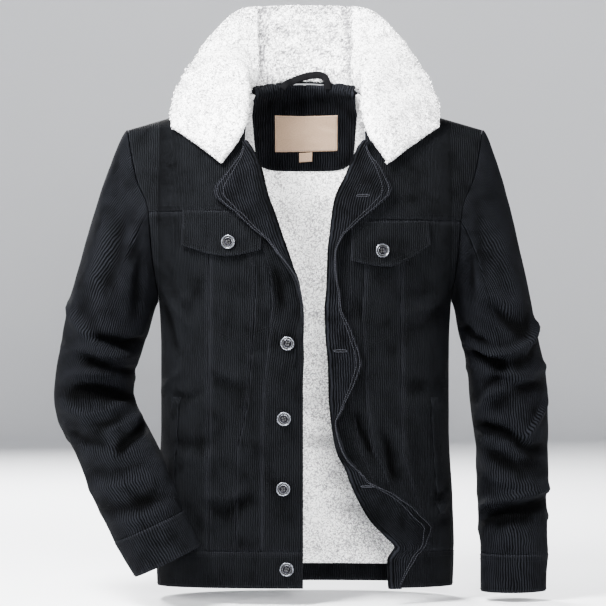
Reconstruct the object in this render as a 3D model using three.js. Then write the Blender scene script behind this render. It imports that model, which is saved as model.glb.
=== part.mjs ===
// Sherpa lined corduroy jacket, open at the front and filled out with no wearer, in mm.
// +X is the viewer's right, +Y runs to the jacket's back and +Z is up; the wearer's right is at -X.
// The origin is the middle of the neck at the height of the side neck points.
// Each sewn surface is one grid of points on the cloth's outer face. Its panels are parts of that
// grid, cut along shared lines with a 0.3 mm seam gap, and each wall runs inwards from it.
import * as THREE from "three";

const SHELL = 1.5; // corduroy wall
const PLY = 0.4; // room between two layers
const SHERPA = 5; // lining wall, to the tips of its pile
const SEAM = 0.15; // what each panel gives up at a seam
const ROLL = 2.5; // inner radius of a turned front edge
const root = new THREE.Group();

// Each piece's own material, by what it is made of.
const FINISH = [
  [/^button/, { color: "#8b8d93", roughness: 0.3, metalness: 0.6 }],
  [/^(lining|collar$)/, { color: "#eeeeeb", roughness: 0.95, metalness: 0 }],
  [/^(neck_label|size_tab)/, { color: "#c9ada0", roughness: 0.8, metalness: 0 }],
  [/./, { color: "#17181c", roughness: 0.85, metalness: 0 }],
];
const finish = (name) =>
  new THREE.MeshStandardMaterial(FINISH.find(([like]) => like.test(name))[1]);

// Small vector helpers on plain [x, y, z] lists.
const add = (a, b, k = 1) => [a[0] + b[0] * k, a[1] + b[1] * k, a[2] + b[2] * k];
const sub = (a, b) => [a[0] - b[0], a[1] - b[1], a[2] - b[2]];
const cross = (a, b) => [
  a[1] * b[2] - a[2] * b[1],
  a[2] * b[0] - a[0] * b[2],
  a[0] * b[1] - a[1] * b[0],
];
const size = (a) => Math.hypot(a[0], a[1], a[2]);
const unit = (a) => {
  const l = size(a) || 1;
  return [a[0] / l, a[1] / l, a[2] / l];
};
const mix = (a, b, t) => [
  a[0] + (b[0] - a[0]) * t,
  a[1] + (b[1] - a[1]) * t,
  a[2] + (b[2] - a[2]) * t,
];
const clamp = (v, lo, hi) => Math.min(hi, Math.max(lo, v));

// Reads a table of [z, value, value...] rows at height z, with straight runs between the rows.
function read(table, z, k = 1) {
  if (z <= table[0][0]) return table[0][k];
  for (let i = 1; i < table.length; i++)
    if (z <= table[i][0]) {
      const [a, b] = [table[i - 1], table[i]];
      return a[k] + ((b[k] - a[k]) * (z - a[0])) / (b[0] - a[0]);
    }
  return table[table.length - 1][k];
}

// TORSO. Half width, front depth and back depth at each height.
const FORM = [
  [-665, 199, 113, 113],
  [-606, 201, 117, 117],
  [-540, 199, 120, 118],
  [-440, 194, 122, 119],
  [-340, 194, 127, 122],
  [-277, 197, 131, 125],
  [-230, 213, 132, 126],
  [-165, 240, 131, 125],
  [-100, 252, 130, 122],
  [-47, 262, 130, 120],
  [40, 262, 130, 120],
];
const CURVE = 2.3;

// Height of the shoulder ridge over a point; behind the neck it climbs to the collar.
function ridge(x, back) {
  const w = Math.abs(x);
  const slope = -47 + (47 * (239 - w)) / 161;
  return w < 78 && back ? slope + 52 * (1 - (w / 78) ** 2) : slope;
}

// How far the cloth stands from the middle plane at (x, z).
function depth(x, z, back) {
  const a = read(FORM, z, 1);
  const b = read(FORM, z, back ? 3 : 2);
  const side = Math.max(0, 1 - (Math.abs(x) / a) ** CURVE) ** (1 / CURVE);
  const s = clamp((ridge(x, back) - z) / 200, 0, 1);
  return b * side * (1 - (1 - s) ** 2) ** 0.7;
}

const place = (x, z, back) => {
  const y = (back ? 1 : -1) * depth(x, z, back);
  const low = clamp((-165 - z) / 300, 0, 1);
  return [x, y, z - low * 0.043 * (y + 115)];
};

// The front's outer face and its outward direction at (x, z).
function front(x, z) {
  const p = place(x, z, false);
  const n = unit(cross(sub(place(x, z + 1, false), p), sub(place(x + 1, z, false), p)));
  return { p, n: n[1] > 0 ? [-n[0], -n[1], -n[2]] : n };
}

// Armhole seam, half width at each height.
const ARMHOLE = [
  [-277, 197],
  [-263, 198.5],
  [-209, 204],
  [-155, 209],
  [-115, 225],
  [-80, 233],
  [-47, 239],
];
const sideOf = (z) => (z < -277 ? read(FORM, z, 1) : read(ARMHOLE, z));

// GRIDS AND WALLS. A grid is rows of points, rows[i][j].
// Directions out of the cloth: the sum of the facets round each point.
function normals(grid, flip = 1) {
  const [m, n] = [grid.length, grid[0].length];
  return grid.map((row, i) =>
    row.map((p, j) => {
      const du = sub(grid[i][Math.min(n - 1, j + 1)], grid[i][Math.max(0, j - 1)]);
      const dv = sub(grid[Math.min(m - 1, i + 1)][j], grid[Math.max(0, i - 1)][j]);
      return unit(cross(du, dv)).map((c) => c * flip);
    }),
  );
}

// One closed wall over the cells of a grid that keep(i, j) picks.
// lift is how far the wall's first face lies inside the grid, and thick is how deep it is.
function wall(name, grid, norm, opt) {
  const { thick, lift = 0, keep = () => true, loop = false, seam = SEAM } = opt;
  const [m, n] = [grid.length, grid[0].length];
  const cells = loop ? n : n - 1;
  const has = (i, j) => {
    if (i < 0 || i >= m - 1) return false;
    if (!loop && (j < 0 || j >= n - 1)) return false;
    return keep(i, (j + cells) % cells);
  };
  const at = (i, j) => grid[i][loop ? (j + n) % n : j];
  const pos = [];
  const tri = [];
  const index = new Map();
  const deep = typeof thick === "function" ? thick : () => thick;
  const lifts = typeof lift === "function" ? lift : () => lift;
  const vertex = (i, jj, inner) => {
    const j = loop ? (jj + n) % n : jj;
    const key = (i * n + j) * 2 + inner;
    if (!index.has(key)) {
      // Open edges round this point each pull it inwards by the seam's share.
      const pulls = { i: [], j: [] };
      for (const c of [j - 1, j]) {
        if (has(i, c) && !has(i - 1, c)) pulls.i.push(1);
        if (has(i - 1, c) && !has(i, c)) pulls.i.push(-1);
      }
      for (const r of [i - 1, i]) {
        if (has(r, j) && !has(r, j - 1)) pulls.j.push(1);
        if (has(r, j - 1) && !has(r, j)) pulls.j.push(-1);
      }
      let p = at(i, j);
      const shift = [0, 0, 0];
      const si = Math.sign(pulls.i.reduce((a, b) => a + b, 0));
      const sj = Math.sign(pulls.j.reduce((a, b) => a + b, 0));
      if (si) {
        const d = unit(sub(at(i + si, j), p));
        for (let k = 0; k < 3; k++) shift[k] += d[k] * seam;
      }
      if (sj) {
        const d = unit(sub(at(i, j + sj), p));
        for (let k = 0; k < 3; k++) shift[k] += d[k] * seam;
      }
      p = add(p, shift);
      const d = lifts(i, j) + (inner ? deep(i, j) : 0);
      index.set(key, pos.length / 3);
      pos.push(...add(p, norm[i][j], -d));
    }
    return index.get(key);
  };
  const quad = (a, b, c, d) => tri.push(a, b, c, a, c, d);
  for (let i = 0; i < m - 1; i++)
    for (let j = 0; j < cells; j++) {
      if (!has(i, j)) continue;
      const corners = [[i, j], [i, j + 1], [i + 1, j + 1], [i + 1, j]];
      const o = corners.map(([a, b]) => vertex(a, b, 0));
      const q = corners.map(([a, b]) => vertex(a, b, 1));
      quad(o[0], o[1], o[2], o[3]);
      quad(q[2], q[1], q[0], q[3]);
      if (!has(i - 1, j)) quad(q[0], q[1], o[1], o[0]);
      if (!has(i, j + 1)) quad(q[1], q[2], o[2], o[1]);
      if (!has(i + 1, j)) quad(q[2], q[3], o[3], o[2]);
      if (!has(i, j - 1)) quad(q[3], q[0], o[0], o[3]);
    }
  return solid(name, pos, tri);
}

// A named mesh with its faces turned outwards.
function solid(name, pos, tri) {
  let volume = 0;
  const v = (k) => [pos[3 * k], pos[3 * k + 1], pos[3 * k + 2]];
  for (let i = 0; i < tri.length; i += 3) {
    const c = cross(v(tri[i + 1]), v(tri[i + 2]));
    const a = v(tri[i]);
    volume += a[0] * c[0] + a[1] * c[1] + a[2] * c[2];
  }
  const turned = volume < 0 ? tri.map((_, i) => tri[i - (i % 3) + [0, 2, 1][i % 3]]) : tri;
  const geometry = new THREE.BufferGeometry();
  geometry.setAttribute("position", new THREE.Float32BufferAttribute(pos, 3));
  geometry.setIndex(turned);
  const mesh = new THREE.Mesh(geometry, finish(name));
  mesh.name = name;
  root.add(mesh);
  return mesh;
}

// FRONTS. Each side has its own open edge: the fold's x and the turned width at each height.
const RIGHT_EDGE = {
  s: -1,
  yoke: -160,
  fold: [
    [-665, 22], [-388, 22], [-351, 17.3], [-330, 15.3], [-314, 12.6], [-298, 9.5], [-282, 8.7],
    [-266, 11], [-251, 14], [-235, 20.4], [-227, 22.8], [-198, 33], [-166, 43.7], [-140, 53.2],
    [-104, 62], [-79, 74], [-68, 80], [-36, 79], [0, 78],
  ],
  turn: [
    [-665, 13], [-330, 13], [-290, 14], [-264, 13.5], [-227, 13], [-210, 13], [-198, 17], [-185, 31],
    [-166, 45], [-152, 58], [-143, 65], [-132, 61], [-104, 33], [-90, 16], [-79, 6], [-68, 2],
  ],
  angle: [
    [-665, 0], [-388, 0], [-351, 0.35], [-330, 0.7], [-314, 1.1], [-298, 1.4],
    [-277, 1.6], [-250, 1.8], [-228, 2.2], [-212, 2.75], [-200, 3.14], [-60, 3.14],
  ],
};
const LEFT_EDGE = {
  s: 1,
  yoke: -172,
  fold: [
    [-665, 115], [-650, 114], [-618, 113], [-602, 123], [-585, 109], [-565, 90], [-549, 80],
    [-532, 71], [-516, 64], [-500, 58.5], [-474, 46], [-434, 39], [-408, 36.5], [-356, 35],
    [-330, 32.5], [-290, 31], [-264, 33], [-212, 35], [-188, 37.7], [-172, 39.6], [-157, 41.4],
    [-141, 45.2], [-125, 53], [-109, 60.5], [-79, 73.5], [-68, 80], [-36, 79], [0, 78],
  ],
  turn: [
    [-665, 10], [-650, 10], [-635, 18], [-618, 29], [-602, 30], [-590, 45], [-582, 57], [-574, 67],
    [-549, 61], [-532, 46], [-516, 19], [-500, 12], [-474, 12], [-434, 11], [-414, 14], [-388, 28],
    [-362, 38], [-343, 36], [-316, 28], [-290, 16], [-264, 12], [-238, 10], [-218, 10], [-205, 11],
    [-192, 14], [-175, 30], [-157, 52], [-142, 66], [-133, 63], [-104, 34], [-90, 16], [-79, 6],
    [-68, 2],
  ],
  angle: [
    [-665, 3.14], [-510, 3.14], [-485, 2.2], [-440, 2], [-405, 3.14], [-275, 3.14],
    [-250, 2.5], [-215, 2.35], [-195, 2.7], [-178, 3.14], [-60, 3.14],
  ],
};

// Columns of a front: side seam or armhole, then the seams at columns 6 and 9, the facing's inner
// edge at 10, the placket seam at 11, the fold at 13, and the turned strip up to column 21.
const SIDE_SEAM = 0;
const [SEAM_A, SEAM_B, FACING, PLACKET, FOLD, EDGE] = [5, 7, 8, 9, 11, 17];
// Rows of a front: hem, waist seam at 2, yoke seam at 15, the break of the lapel at 19, shoulder.
const [WAIST, YOKE, BREAK, TOP] = [2, 15, 19, 22];
const ARMPIT = 11;
const HEM = [-656, -632, -608];
const BACK_SKIPS = 4; // the back has this many fewer rows below the armpit
// Height of a body row whose yoke seam lies at the height top.
function rowHeight(i, top, skip = 0) {
  const pit = ARMPIT - skip;
  if (i <= WAIST) return HEM[i];
  if (i <= pit) return -608 + (331 * (i - WAIST)) / (pit - WAIST);
  return -277 + ((top + 277) * (i - pit)) / (YOKE - ARMPIT);
}
const YOKE_V = [0, 0.15, 0.3, 0.45, 0.6, 0.76, 0.91, 1];
const TURNS = 4; // columns of the rolled edge, then straight cloth

function seamA(edge, z) {
  const shift = edge.s > 0 ? clamp((-480 - z) / 110, 0, 1) * 36 : 0;
  return 127 + shift;
}
function seamB(edge, z) {
  const base = read([[-665, 92], [-488, 90], [-408, 75], [-225, 64], [-160, 66]], z);
  return Math.min(Math.max(base, read(edge.fold, z) + 44), seamA(edge, z) - 8);
}

// Half widths of the columns up to the fold at height z, with the armhole or side seam at xs.
function columns(edge, z, xs) {
  const a = Math.max(read(FORM, z, 1), xs);
  const angle = (x) => Math.acos(clamp(x / a, 0, 1) ** (CURVE / 2));
  const out = [];
  const [ts, ta] = [angle(xs), angle(seamA(edge, z))];
  for (let j = 0; j <= SEAM_A; j++) {
    const t = ts + ((ta - ts) * j) / SEAM_A;
    out.push(j ? a * Math.cos(t) ** (2 / CURVE) : xs);
  }
  const [xa, xb, xf] = [seamA(edge, z), seamB(edge, z), read(edge.fold, z)];
  for (let j = 1; j <= 2; j++) out.push(xa + ((xb - xa) * j) / 2);
  const wide = Math.min(35, (xb - xf) * 0.62);
  out.push((xb + xf + wide) / 2, xf + wide, xf + wide / 2, xf);
  return out;
}

// Rows of (half width, height) up to the fold, then the turned strip beyond it.
function frontGrid(edge) {
  const flat = [];
  for (let i = 0; i <= YOKE; i++) {
    const z = rowHeight(i, edge.yoke);
    flat.push(columns(edge, z, sideOf(z)).map((x) => [x, z]));
  }
  const seam = flat[YOKE];
  const total = seam[0][0] - seam[FOLD][0];
  const share = seam.map(([x]) => (seam[0][0] - x) / total);
  const neckZ = (v) => read([[0, edge.yoke], [0.6, -70], [0.84, -28], [1, 0]], v);
  const armZ = (v) => edge.yoke + (-47 - edge.yoke) * v;
  for (const v of YOKE_V.slice(1)) {
    const arm = [read(ARMHOLE, armZ(v)), armZ(v)];
    const neck = [read(edge.fold, neckZ(v)), neckZ(v)];
    flat.push(
      seam.map(([x, z], j) => {
        const f = share[j];
        const tip = 239 + (78 - 239) * f;
        const up = [tip, ridge(tip, false)];
        return [0, 1].map((k) => {
          const across = (1 - f) * arm[k] + f * neck[k];
          const along = (1 - v) * [x, z][k] + v * up[k];
          const c00 = seam[0][k];
          const c01 = seam[FOLD][k];
          const c10 = [239, -47][k];
          const c11 = [78, 0][k];
          const corner = (1 - v) * ((1 - f) * c00 + f * c01) + v * ((1 - f) * c10 + f * c11);
          return across + along - corner;
        });
      }),
    );
  }
  return flat.map((row) => {
    const body = row.map(([x, z]) => front(edge.s * x, z).p);
    const [xf, z] = row[FOLD];
    const base = front(edge.s * xf, z);
    const length = read(edge.turn, z);
    const angle = read(edge.angle, z);
    const out = unit([-edge.s, 0, 0]); // towards the opening, along the cloth
    const strip = [];
    const bend = Math.max(angle, 0.001);
    for (let k = 1; k <= EDGE - FOLD; k++) {
      const t = Math.min(k, TURNS) / TURNS;
      const a = bend * t;
      const r = angle < 0.01 ? 0 : ROLL;
      let p;
      const rolled = Math.max(1.5, length * 0.25);
      if (k <= TURNS) {
        const reach = angle < 1 ? rolled * 2 * t : 0;
        p = add(base.p, out, r * Math.sin(a) + reach * (1 - clamp(angle, 0, 1)));
        p = add(p, base.n, r * (1 - Math.cos(a)));
      } else {
        const d = (length * (k - TURNS)) / (EDGE - FOLD - TURNS);
        const start = add(add(base.p, out, r * Math.sin(bend)), base.n, r * (1 - Math.cos(bend)));
        const flatStart = add(base.p, out, rolled * 2 * (1 - clamp(angle, 0, 1)));
        const dir = add(out.map((c) => c * Math.cos(bend)), base.n, Math.sin(bend));
        const free = add(angle < 1 ? mix(flatStart, start, angle) : start, dir, d);
        const over = front(edge.s * (xf + d), z);
        const laid = add(over.p, over.n, 2 * r + 2.5 * (d / 60));
        const w = clamp((angle - 2) / 1.1, 0, 1);
        p = mix(free, laid, w);
      }
      strip.push(p);
    }
    return [...body, ...strip];
  });
}

// Side and shoulder seams share their direction with the back, so the walls meet square.
function sewn(grid, norm, shoulderTo) {
  for (let i = 0; i < grid.length; i++)
    if (i <= ARMPIT) norm[i][0] = unit([norm[i][0][0], 0, norm[i][0][2]]);
  const last = norm[norm.length - 1];
  for (let j = 0; j < last.length; j++)
    if (shoulderTo(j)) last[j] = unit([last[j][0] * 0.4, 0, 1]);
  return norm;
}

const fronts = {};
for (const edge of [RIGHT_EDGE, LEFT_EDGE]) {
  const grid = frontGrid(edge);
  const norm = sewn(grid, normals(grid, edge.s < 0 ? 1 : -1), (j) => j <= FOLD);
  const side = edge.s < 0 ? "right" : "left";
  fronts[side] = { grid, norm, edge };
  const rows = (a, b, c, d) => (i, j) => i >= a && i < b && j >= c && j < d;
  const skin = (name, keep) => wall(name, grid, norm, { thick: SHELL, keep });
  skin(`panel_front_side_${side}`, rows(WAIST, YOKE, SIDE_SEAM, SEAM_A));
  skin(`panel_front_centre_${side}`, rows(WAIST, YOKE, SEAM_A, SEAM_B));
  skin(`panel_front_inner_${side}`, rows(WAIST, YOKE, SEAM_B, PLACKET));
  skin(`yoke_front_${side}`, rows(YOKE, TOP, 0, PLACKET));
  skin(`placket_${side}`, (i, j) => i >= WAIST && j >= PLACKET && (j < FOLD || i < BREAK));
  skin(`waistband_front_${side}`, rows(0, WAIST, 0, EDGE));
  wall(`facing_${side}`, grid, norm, {
    thick: SHELL,
    lift: SHELL + PLY,
    keep: (i, j) => j >= FACING && (j < FOLD || i < BREAK),
  });
  wall(`lining_front_${side}`, grid, norm, {
    thick: (i, j) => (i === 1 || j === FACING ? 2 : SHERPA),
    lift: SHELL + PLY,
    keep: (i, j) => i >= 1 && j < FACING,
  });
}

// BACK. One grid from the right side seam round to the left one.
const [BACK_YOKE, BACK_TOP] = [YOKE - BACK_SKIPS, TOP - BACK_SKIPS];
function backGrid() {
  const half = [];
  const yoke = -152;
  const count = 10;
  for (let i = 0; i <= BACK_YOKE; i++) {
    const z = rowHeight(i, yoke, BACK_SKIPS);
    const a = Math.max(read(FORM, z, 1), sideOf(z));
    const start = Math.acos((sideOf(z) / a) ** (CURVE / 2));
    const row = [];
    for (let j = 0; j <= count; j++) {
      const t = start + ((Math.PI / 2 - start) * j) / count;
      row.push([j ? a * Math.max(0, Math.cos(t)) ** (2 / CURVE) : sideOf(z), z]);
    }
    row[count][0] = 0;
    half.push(row);
  }
  const seam = half[BACK_YOKE];
  // The top edge runs along the shoulder and then round the back of the neck.
  const neck = (w) => [78 * Math.cos(w), 19 * Math.sin(w) ** 1.5];
  const top = seam.map((_, j) => {
    const k = count - 5;
    if (j > k) return neck(((j - k) / 5) * (Math.PI / 2));
    const x = 239 - (161 * j) / k;
    return [x, ridge(x, true)];
  });
  top[count][0] = 0;
  for (const v of YOKE_V.slice(1)) {
    const z = yoke + (-47 - yoke) * v;
    const arm = [read(ARMHOLE, z), z];
    half.push(
      seam.map((q, j) => {
        const f = 1 - q[0] / seam[0][0];
        return [0, 1].map((k) => {
          const across = (1 - f) * arm[k] + f * [0, yoke + (19 - yoke) * v][k];
          const along = (1 - v) * q[k] + v * top[j][k];
          const corner =
            (1 - v) * ((1 - f) * seam[0][k] + f * seam[count][k]) +
            v * ((1 - f) * top[0][k] + f * top[count][k]);
          return across + along - corner;
        });
      }),
    );
  }
  return half.map((row) => {
    const right = row.map(([x, z]) => place(-x, z, true));
    const left = row.slice(0, -1).map(([x, z]) => place(x, z, true));
    return [...right, ...left.reverse()];
  });
}

const back = backGrid();
const backNorm = normals(back, -1);
const lastColumn = back[0].length - 1;
for (let i = 0; i < back.length; i++)
  for (const j of [0, lastColumn])
    if (i <= ARMPIT - BACK_SKIPS) backNorm[i][j] = unit([backNorm[i][j][0], 0, backNorm[i][j][2]]);
for (let j = 0; j <= lastColumn; j++)
  if (j <= 5 || j >= lastColumn - 5) {
    const n = backNorm[BACK_TOP][j];
    backNorm[BACK_TOP][j] = unit([n[0] * 0.4, 0, 1]);
  }
wall("yoke_back", back, backNorm, { thick: SHELL, keep: (i) => i >= BACK_YOKE });
wall("panel_back", back, backNorm, { thick: SHELL, keep: (i) => i >= WAIST && i < BACK_YOKE });
wall("waistband_back", back, backNorm, { thick: SHELL, keep: (i) => i < WAIST });
wall("lining_back", back, backNorm, {
  thick: (i) => (i === 1 ? 2 : SHERPA),
  lift: SHELL + PLY,
  keep: (i) => i >= 1,
});

// SLEEVES. Each ring is its outer point, its inner point, its middle's y and its half depth.
const RIGHT_ARM = {
  s: -1,
  rings: [
    [-328, -331, -215, -331, 0, 66],
    [-336, -371, -226, -366, 3, 64],
    [-339, -405, -231, -392, 4, 61],
    [-333, -439, -228, -412, -6, 59],
    [-321, -460, -218, -433, -22, 56],
    [-307, -481, -205, -456, -45, 53],
    [-291, -514, -189, -483, -74, 50],
    [-276, -546, -177, -512, -94, 47],
    [-262, -571, -167, -534, -107, 45],
    [-250, -594, -160, -553, -116, 43],
  ],
  cuff: [
    [-250, -594, -160, -553, -116, 43],
    [-236, -617, -148, -576, -122, 40],
    [-222, -639, -137, -598, -127, 38],
  ],
};
const LEFT_ARM = {
  s: 1,
  rings: [
    [313, -324, 211, -334, 0, 66],
    [319, -347, 215, -355, 2, 64],
    [325, -374, 220, -380, 4, 61],
    [328, -405, 223, -408, 4, 59],
    [328, -436, 225, -436, 0, 57],
    [328, -468, 229, -468, -4, 54],
    [328, -506, 230, -506, -10, 51],
    [325, -546, 232, -546, -17, 48],
    [326, -586, 233, -586, -24, 45],
    [326, -615, 235, -615, -29, 43],
  ],
  cuff: [
    [326, -615, 235, -615, -29, 43],
    [323, -641, 235, -641, -33, 40],
    [322, -665, 235, -666, -37, 38],
  ],
};
const CAP = 5; // rows of cells between the armhole and the first full ring

// The armhole seam as a ring: down the front from the shoulder, then up the back.
function armhole(side) {
  const { grid } = fronts[side];
  const column = side === "right" ? 0 : lastColumn;
  const down = [];
  for (let i = TOP; i >= ARMPIT; i--) down.push(grid[i][0]);
  const up = [];
  for (let i = ARMPIT + 1; i < TOP; i++) up.push(back[i - BACK_SKIPS][column]);
  return [...down, ...up];
}

function ringAt([xo, zo, xi, zi, y, d], turns) {
  const c = [(xo + xi) / 2, y, (zo + zi) / 2];
  return turns.map((t) => {
    const a = 2 * Math.PI * t;
    const out = [(xo - xi) / 2, 0, (zo - zi) / 2];
    return add(add(c, out, Math.cos(a)), [0, -1, 0], d * Math.sin(a));
  });
}

function sleeve(arm, side) {
  const start = armhole(side);
  const half = TOP - ARMPIT;
  const run = [0];
  for (let j = 1; j <= start.length; j++)
    run.push(run[j - 1] + size(sub(start[j % start.length], start[j - 1])));
  const turns = start.map((_, j) =>
    j <= half
      ? (0.5 * run[j]) / run[half]
      : 0.5 + (0.5 * (run[j] - run[half])) / (run[start.length] - run[half]),
  );
  const first = ringAt(arm.rings[0], turns);
  const grid = [];
  for (let i = 0; i < CAP; i++) {
    const t = i / CAP;
    grid.push(
      start.map((p, j) => {
        const a = 2 * Math.PI * turns[j];
        const [up, low] = [Math.max(0, Math.cos(a)), Math.max(0, -Math.cos(a))];
        const mid = 1 - up - low;
        const lead = [
          arm.s * (62 * up + 70 * mid + 26 * low),
          -Math.sin(a) * 26,
          -(42 * up + 110 * mid + 34 * low),
        ];
        const land = [arm.s * 26, 0, -(190 * up + 130 * mid + 60 * low)];
        const [h00, h10] = [2 * t ** 3 - 3 * t ** 2 + 1, t ** 3 - 2 * t ** 2 + t];
        const [h01, h11] = [-2 * t ** 3 + 3 * t ** 2, t ** 3 - t ** 2];
        const away = i === 0 ? [arm.s * (0.3 + up), 0, 0] : [0, 0, 0];
        return add(
          add(add(add(p.map((c) => c * h00), lead, h10), first[j], h01), land, h11),
          away,
        );
      }),
    );
  }
  for (const ring of arm.rings) grid.push(ringAt(ring, turns));
  const spin = side === "right" ? -1 : 1;
  const norm = loopNormals(grid, spin);
  const under = (j) => j >= 7 && j < 15;
  const opt = { thick: 1.8, loop: true, seam: 0.3 };
  wall(`sleeve_upper_${side}`, grid, norm, { ...opt, keep: (i, j) => !under(j) });
  wall(`sleeve_under_${side}`, grid, norm, { ...opt, keep: (i, j) => under(j) });
  const cuff = arm.cuff.map((ring) => ringAt(ring, turns));
  wall(`cuff_${side}`, cuff, loopNormals(cuff, spin), { thick: 2.4, loop: true, seam: 0.05 });
}

// Directions out of a tube whose rows close on themselves.
function loopNormals(grid, flip) {
  const [m, n] = [grid.length, grid[0].length];
  return grid.map((row, i) =>
    row.map((p, j) => {
      const du = sub(row[(j + 1) % n], row[(j + n - 1) % n]);
      const dv = sub(grid[Math.min(m - 1, i + 1)][j], grid[Math.max(0, i - 1)][j]);
      return unit(cross(du, dv)).map((c) => c * flip);
    }),
  );
}
sleeve(RIGHT_ARM, "right");
sleeve(LEFT_ARM, "left");

// COLLAR. Stations from the front end to the middle of the back: the neck edge, the way it
// rises, the way it reaches its outer edge, and that edge.
const STATIONS = [
  { neck: [-108, -106, -96], rise: [-22, 6, 18], reach: [26, -22, -18], edge: [-178, -42, -44] },
  { neck: [-80, -93, -58], rise: [-8, -6, 34], reach: [44, -30, 2], edge: [-180, -26, -24] },
  { neck: [-75, -66, -34], rise: [-2, -4, 42], reach: [44, -24, 2], edge: [-175, -6, 4] },
  { neck: [-75, -30, 1.1], rise: [2, 0, 48], reach: [40, -16, -2], edge: [-154, 20, 42] },
  { neck: [-74, 8, 3.1], rise: [3, 0, 50], reach: [24, -6, -22], edge: [-128, 44, 82] },
  { neck: [-62, 38, 11.1], rise: [2, 2, 45], reach: [8, -4, -36], edge: [-92, 66, 118] },
  { neck: [-36, 58, 18.1], rise: [0, 3, 42], reach: [1, -2, -40], edge: [-52, 80, 126] },
  { neck: [0, 64, 21.1], rise: [0, 4, 42], reach: [0, -2, -40], edge: [0, 86, 128] },
];
function collar() {
  const all = [
    ...STATIONS,
    ...STATIONS.slice(0, -1)
      .reverse()
      .map((st) =>
        Object.fromEntries(Object.entries(st).map(([k, [x, y, z]]) => [k, [-x, y, z]])),
      ),
  ];
  // A smooth curve through the stations, two cells between each pair.
  const through = (k, t) => {
    const i = Math.min(Math.floor(t), all.length - 2);
    const f = t - i;
    const q = [i - 1, i, i + 1, i + 2].map((c) => all[clamp(c, 0, all.length - 1)][k]);
    return [0, 1, 2].map(
      (c) =>
        0.5 *
        (2 * q[1][c] +
          (q[2][c] - q[0][c]) * f +
          (2 * q[0][c] - 5 * q[1][c] + 4 * q[2][c] - q[3][c]) * f * f +
          (3 * q[1][c] - q[0][c] - 3 * q[2][c] + q[3][c]) * f ** 3),
    );
  };
  const rows = [];
  const across = 6;
  const along = 2 * (all.length - 1);
  for (let w = 0; w <= across; w++) {
    const t = w / across;
    rows.push(
      Array.from({ length: along + 1 }, (_, j) => {
        const [neck, rise, reach, edge] = ["neck", "rise", "reach", "edge"].map((k) =>
          through(k, j / 2),
        );
        const [a, b] = [add(neck, rise), add(edge, reach)];
        return [0, 1, 2].map(
          (c) =>
            neck[c] * (1 - t) ** 3 +
            3 * a[c] * t * (1 - t) ** 2 +
            3 * b[c] * t * t * (1 - t) +
            edge[c] * t ** 3,
        );
      }),
    );
  }
  const norm = normals(rows);
  wall("collar", rows, norm, { thick: SHERPA });
  wall("collar_under", rows, norm, { thick: 1.3, lift: SHERPA + 0.9, seam: 3 });
}
collar();

// PIECES THAT LIE ON THE FRONTS. Each grid is made from the front's own points, moved out.
// A grid over corners given as [x, z] functions of (u, v), raised off the cloth.
function laid(name, u, v, at, rise, thick) {
  const grid = Array.from({ length: v + 1 }, (_, i) =>
    Array.from({ length: u + 1 }, (_, j) => {
      const [x, z] = at(j / u, i / v);
      const { p, n } = front(x, z);
      return add(p, n, rise(j / u, i / v) + thick);
    }),
  );
  const norm = grid.map((row, i) =>
    row.map((_, j) => {
      const [x, z] = at(j / u, i / v);
      return front(x, z).n;
    }),
  );
  wall(name, grid, norm, { thick, seam: 0 });
}

// A chest flap: its top and bottom corners as [outer x, z] and [inner x, z], and its low point.
function flap(name, outer, inner, low) {
  const at = (u, v) => {
    const x = outer.x + (inner.x - outer.x) * u;
    const top = outer.top + (inner.top - outer.top) * u;
    const mid = (low.x - outer.x) / (inner.x - outer.x);
    const w = u < mid ? u / mid : (1 - u) / (1 - mid);
    const end = u < mid ? outer.low : inner.low;
    const foot = end + (low.z - end) * Math.sin((w * Math.PI) / 2);
    return [x, top + (foot - top) * v];
  };
  laid(name, 8, 4, at, (u, v) => 0.45 + 2.2 * v * v, 1.8);
}
flap("flap_right", { x: -161, top: -159, low: -204 }, { x: -56, top: -160, low: -211 }, { x: -100, z: -219 });
flap("flap_left", { x: 163, top: -173, low: -203 }, { x: 60, top: -174, low: -226 }, { x: 104, z: -233 });

function welt(name, s) {
  const at = (u, v) => [s * (165 + 11 * v + 11 * u), -404 - 155 * v];
  laid(name, 2, 6, at, () => 0.45, 1.6);
}
welt("welt_right", -1);
welt("welt_left", 1);

// BUTTONS. A turned disc with a raised rim, a dished middle and its thread shank.
function button(name, x, z, lift, r = 9.5) {
  const { p, n } = front(x, z);
  const profile = [
    [0, 0], [2.2, 0], [2.2, 1.2], [r - 0.8, 1.4], [r, 2.6], [r - 1.2, 4], [r - 3, 3.1],
    [0, 2.7],
  ].map(([a, b]) => new THREE.Vector2(a, b));
  const disc = new THREE.LatheGeometry(profile, 16);
  const up = new THREE.Vector3(0, 1, 0);
  disc.applyQuaternion(new THREE.Quaternion().setFromUnitVectors(up, new THREE.Vector3(...n)));
  disc.translate(...add(p, n, lift));
  const mesh = new THREE.Mesh(disc, finish(name));
  mesh.name = name;
  root.add(mesh);
}
button("button_front_1", -23, -334, 0.3);
button("button_front_2", -27.5, -433, 0.3);
button("button_front_3", -28.5, -525, 0.3);
button("button_front_4", -24, -630, 0.3);
button("button_flap_right", -99, -201, 0.45 + 2.2 * 0.56 + 2.1);
button("button_flap_left", 99.5, -212, 0.45 + 2.2 * 0.56 + 2.1);

// NECK. The facing, the bare label and the size tab lie on the back lining's inner face.
const inside = back.map((row, i) =>
  row.map((p, j) => add(p, backNorm[i][j], -(SHELL + PLY + SHERPA))),
);

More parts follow.
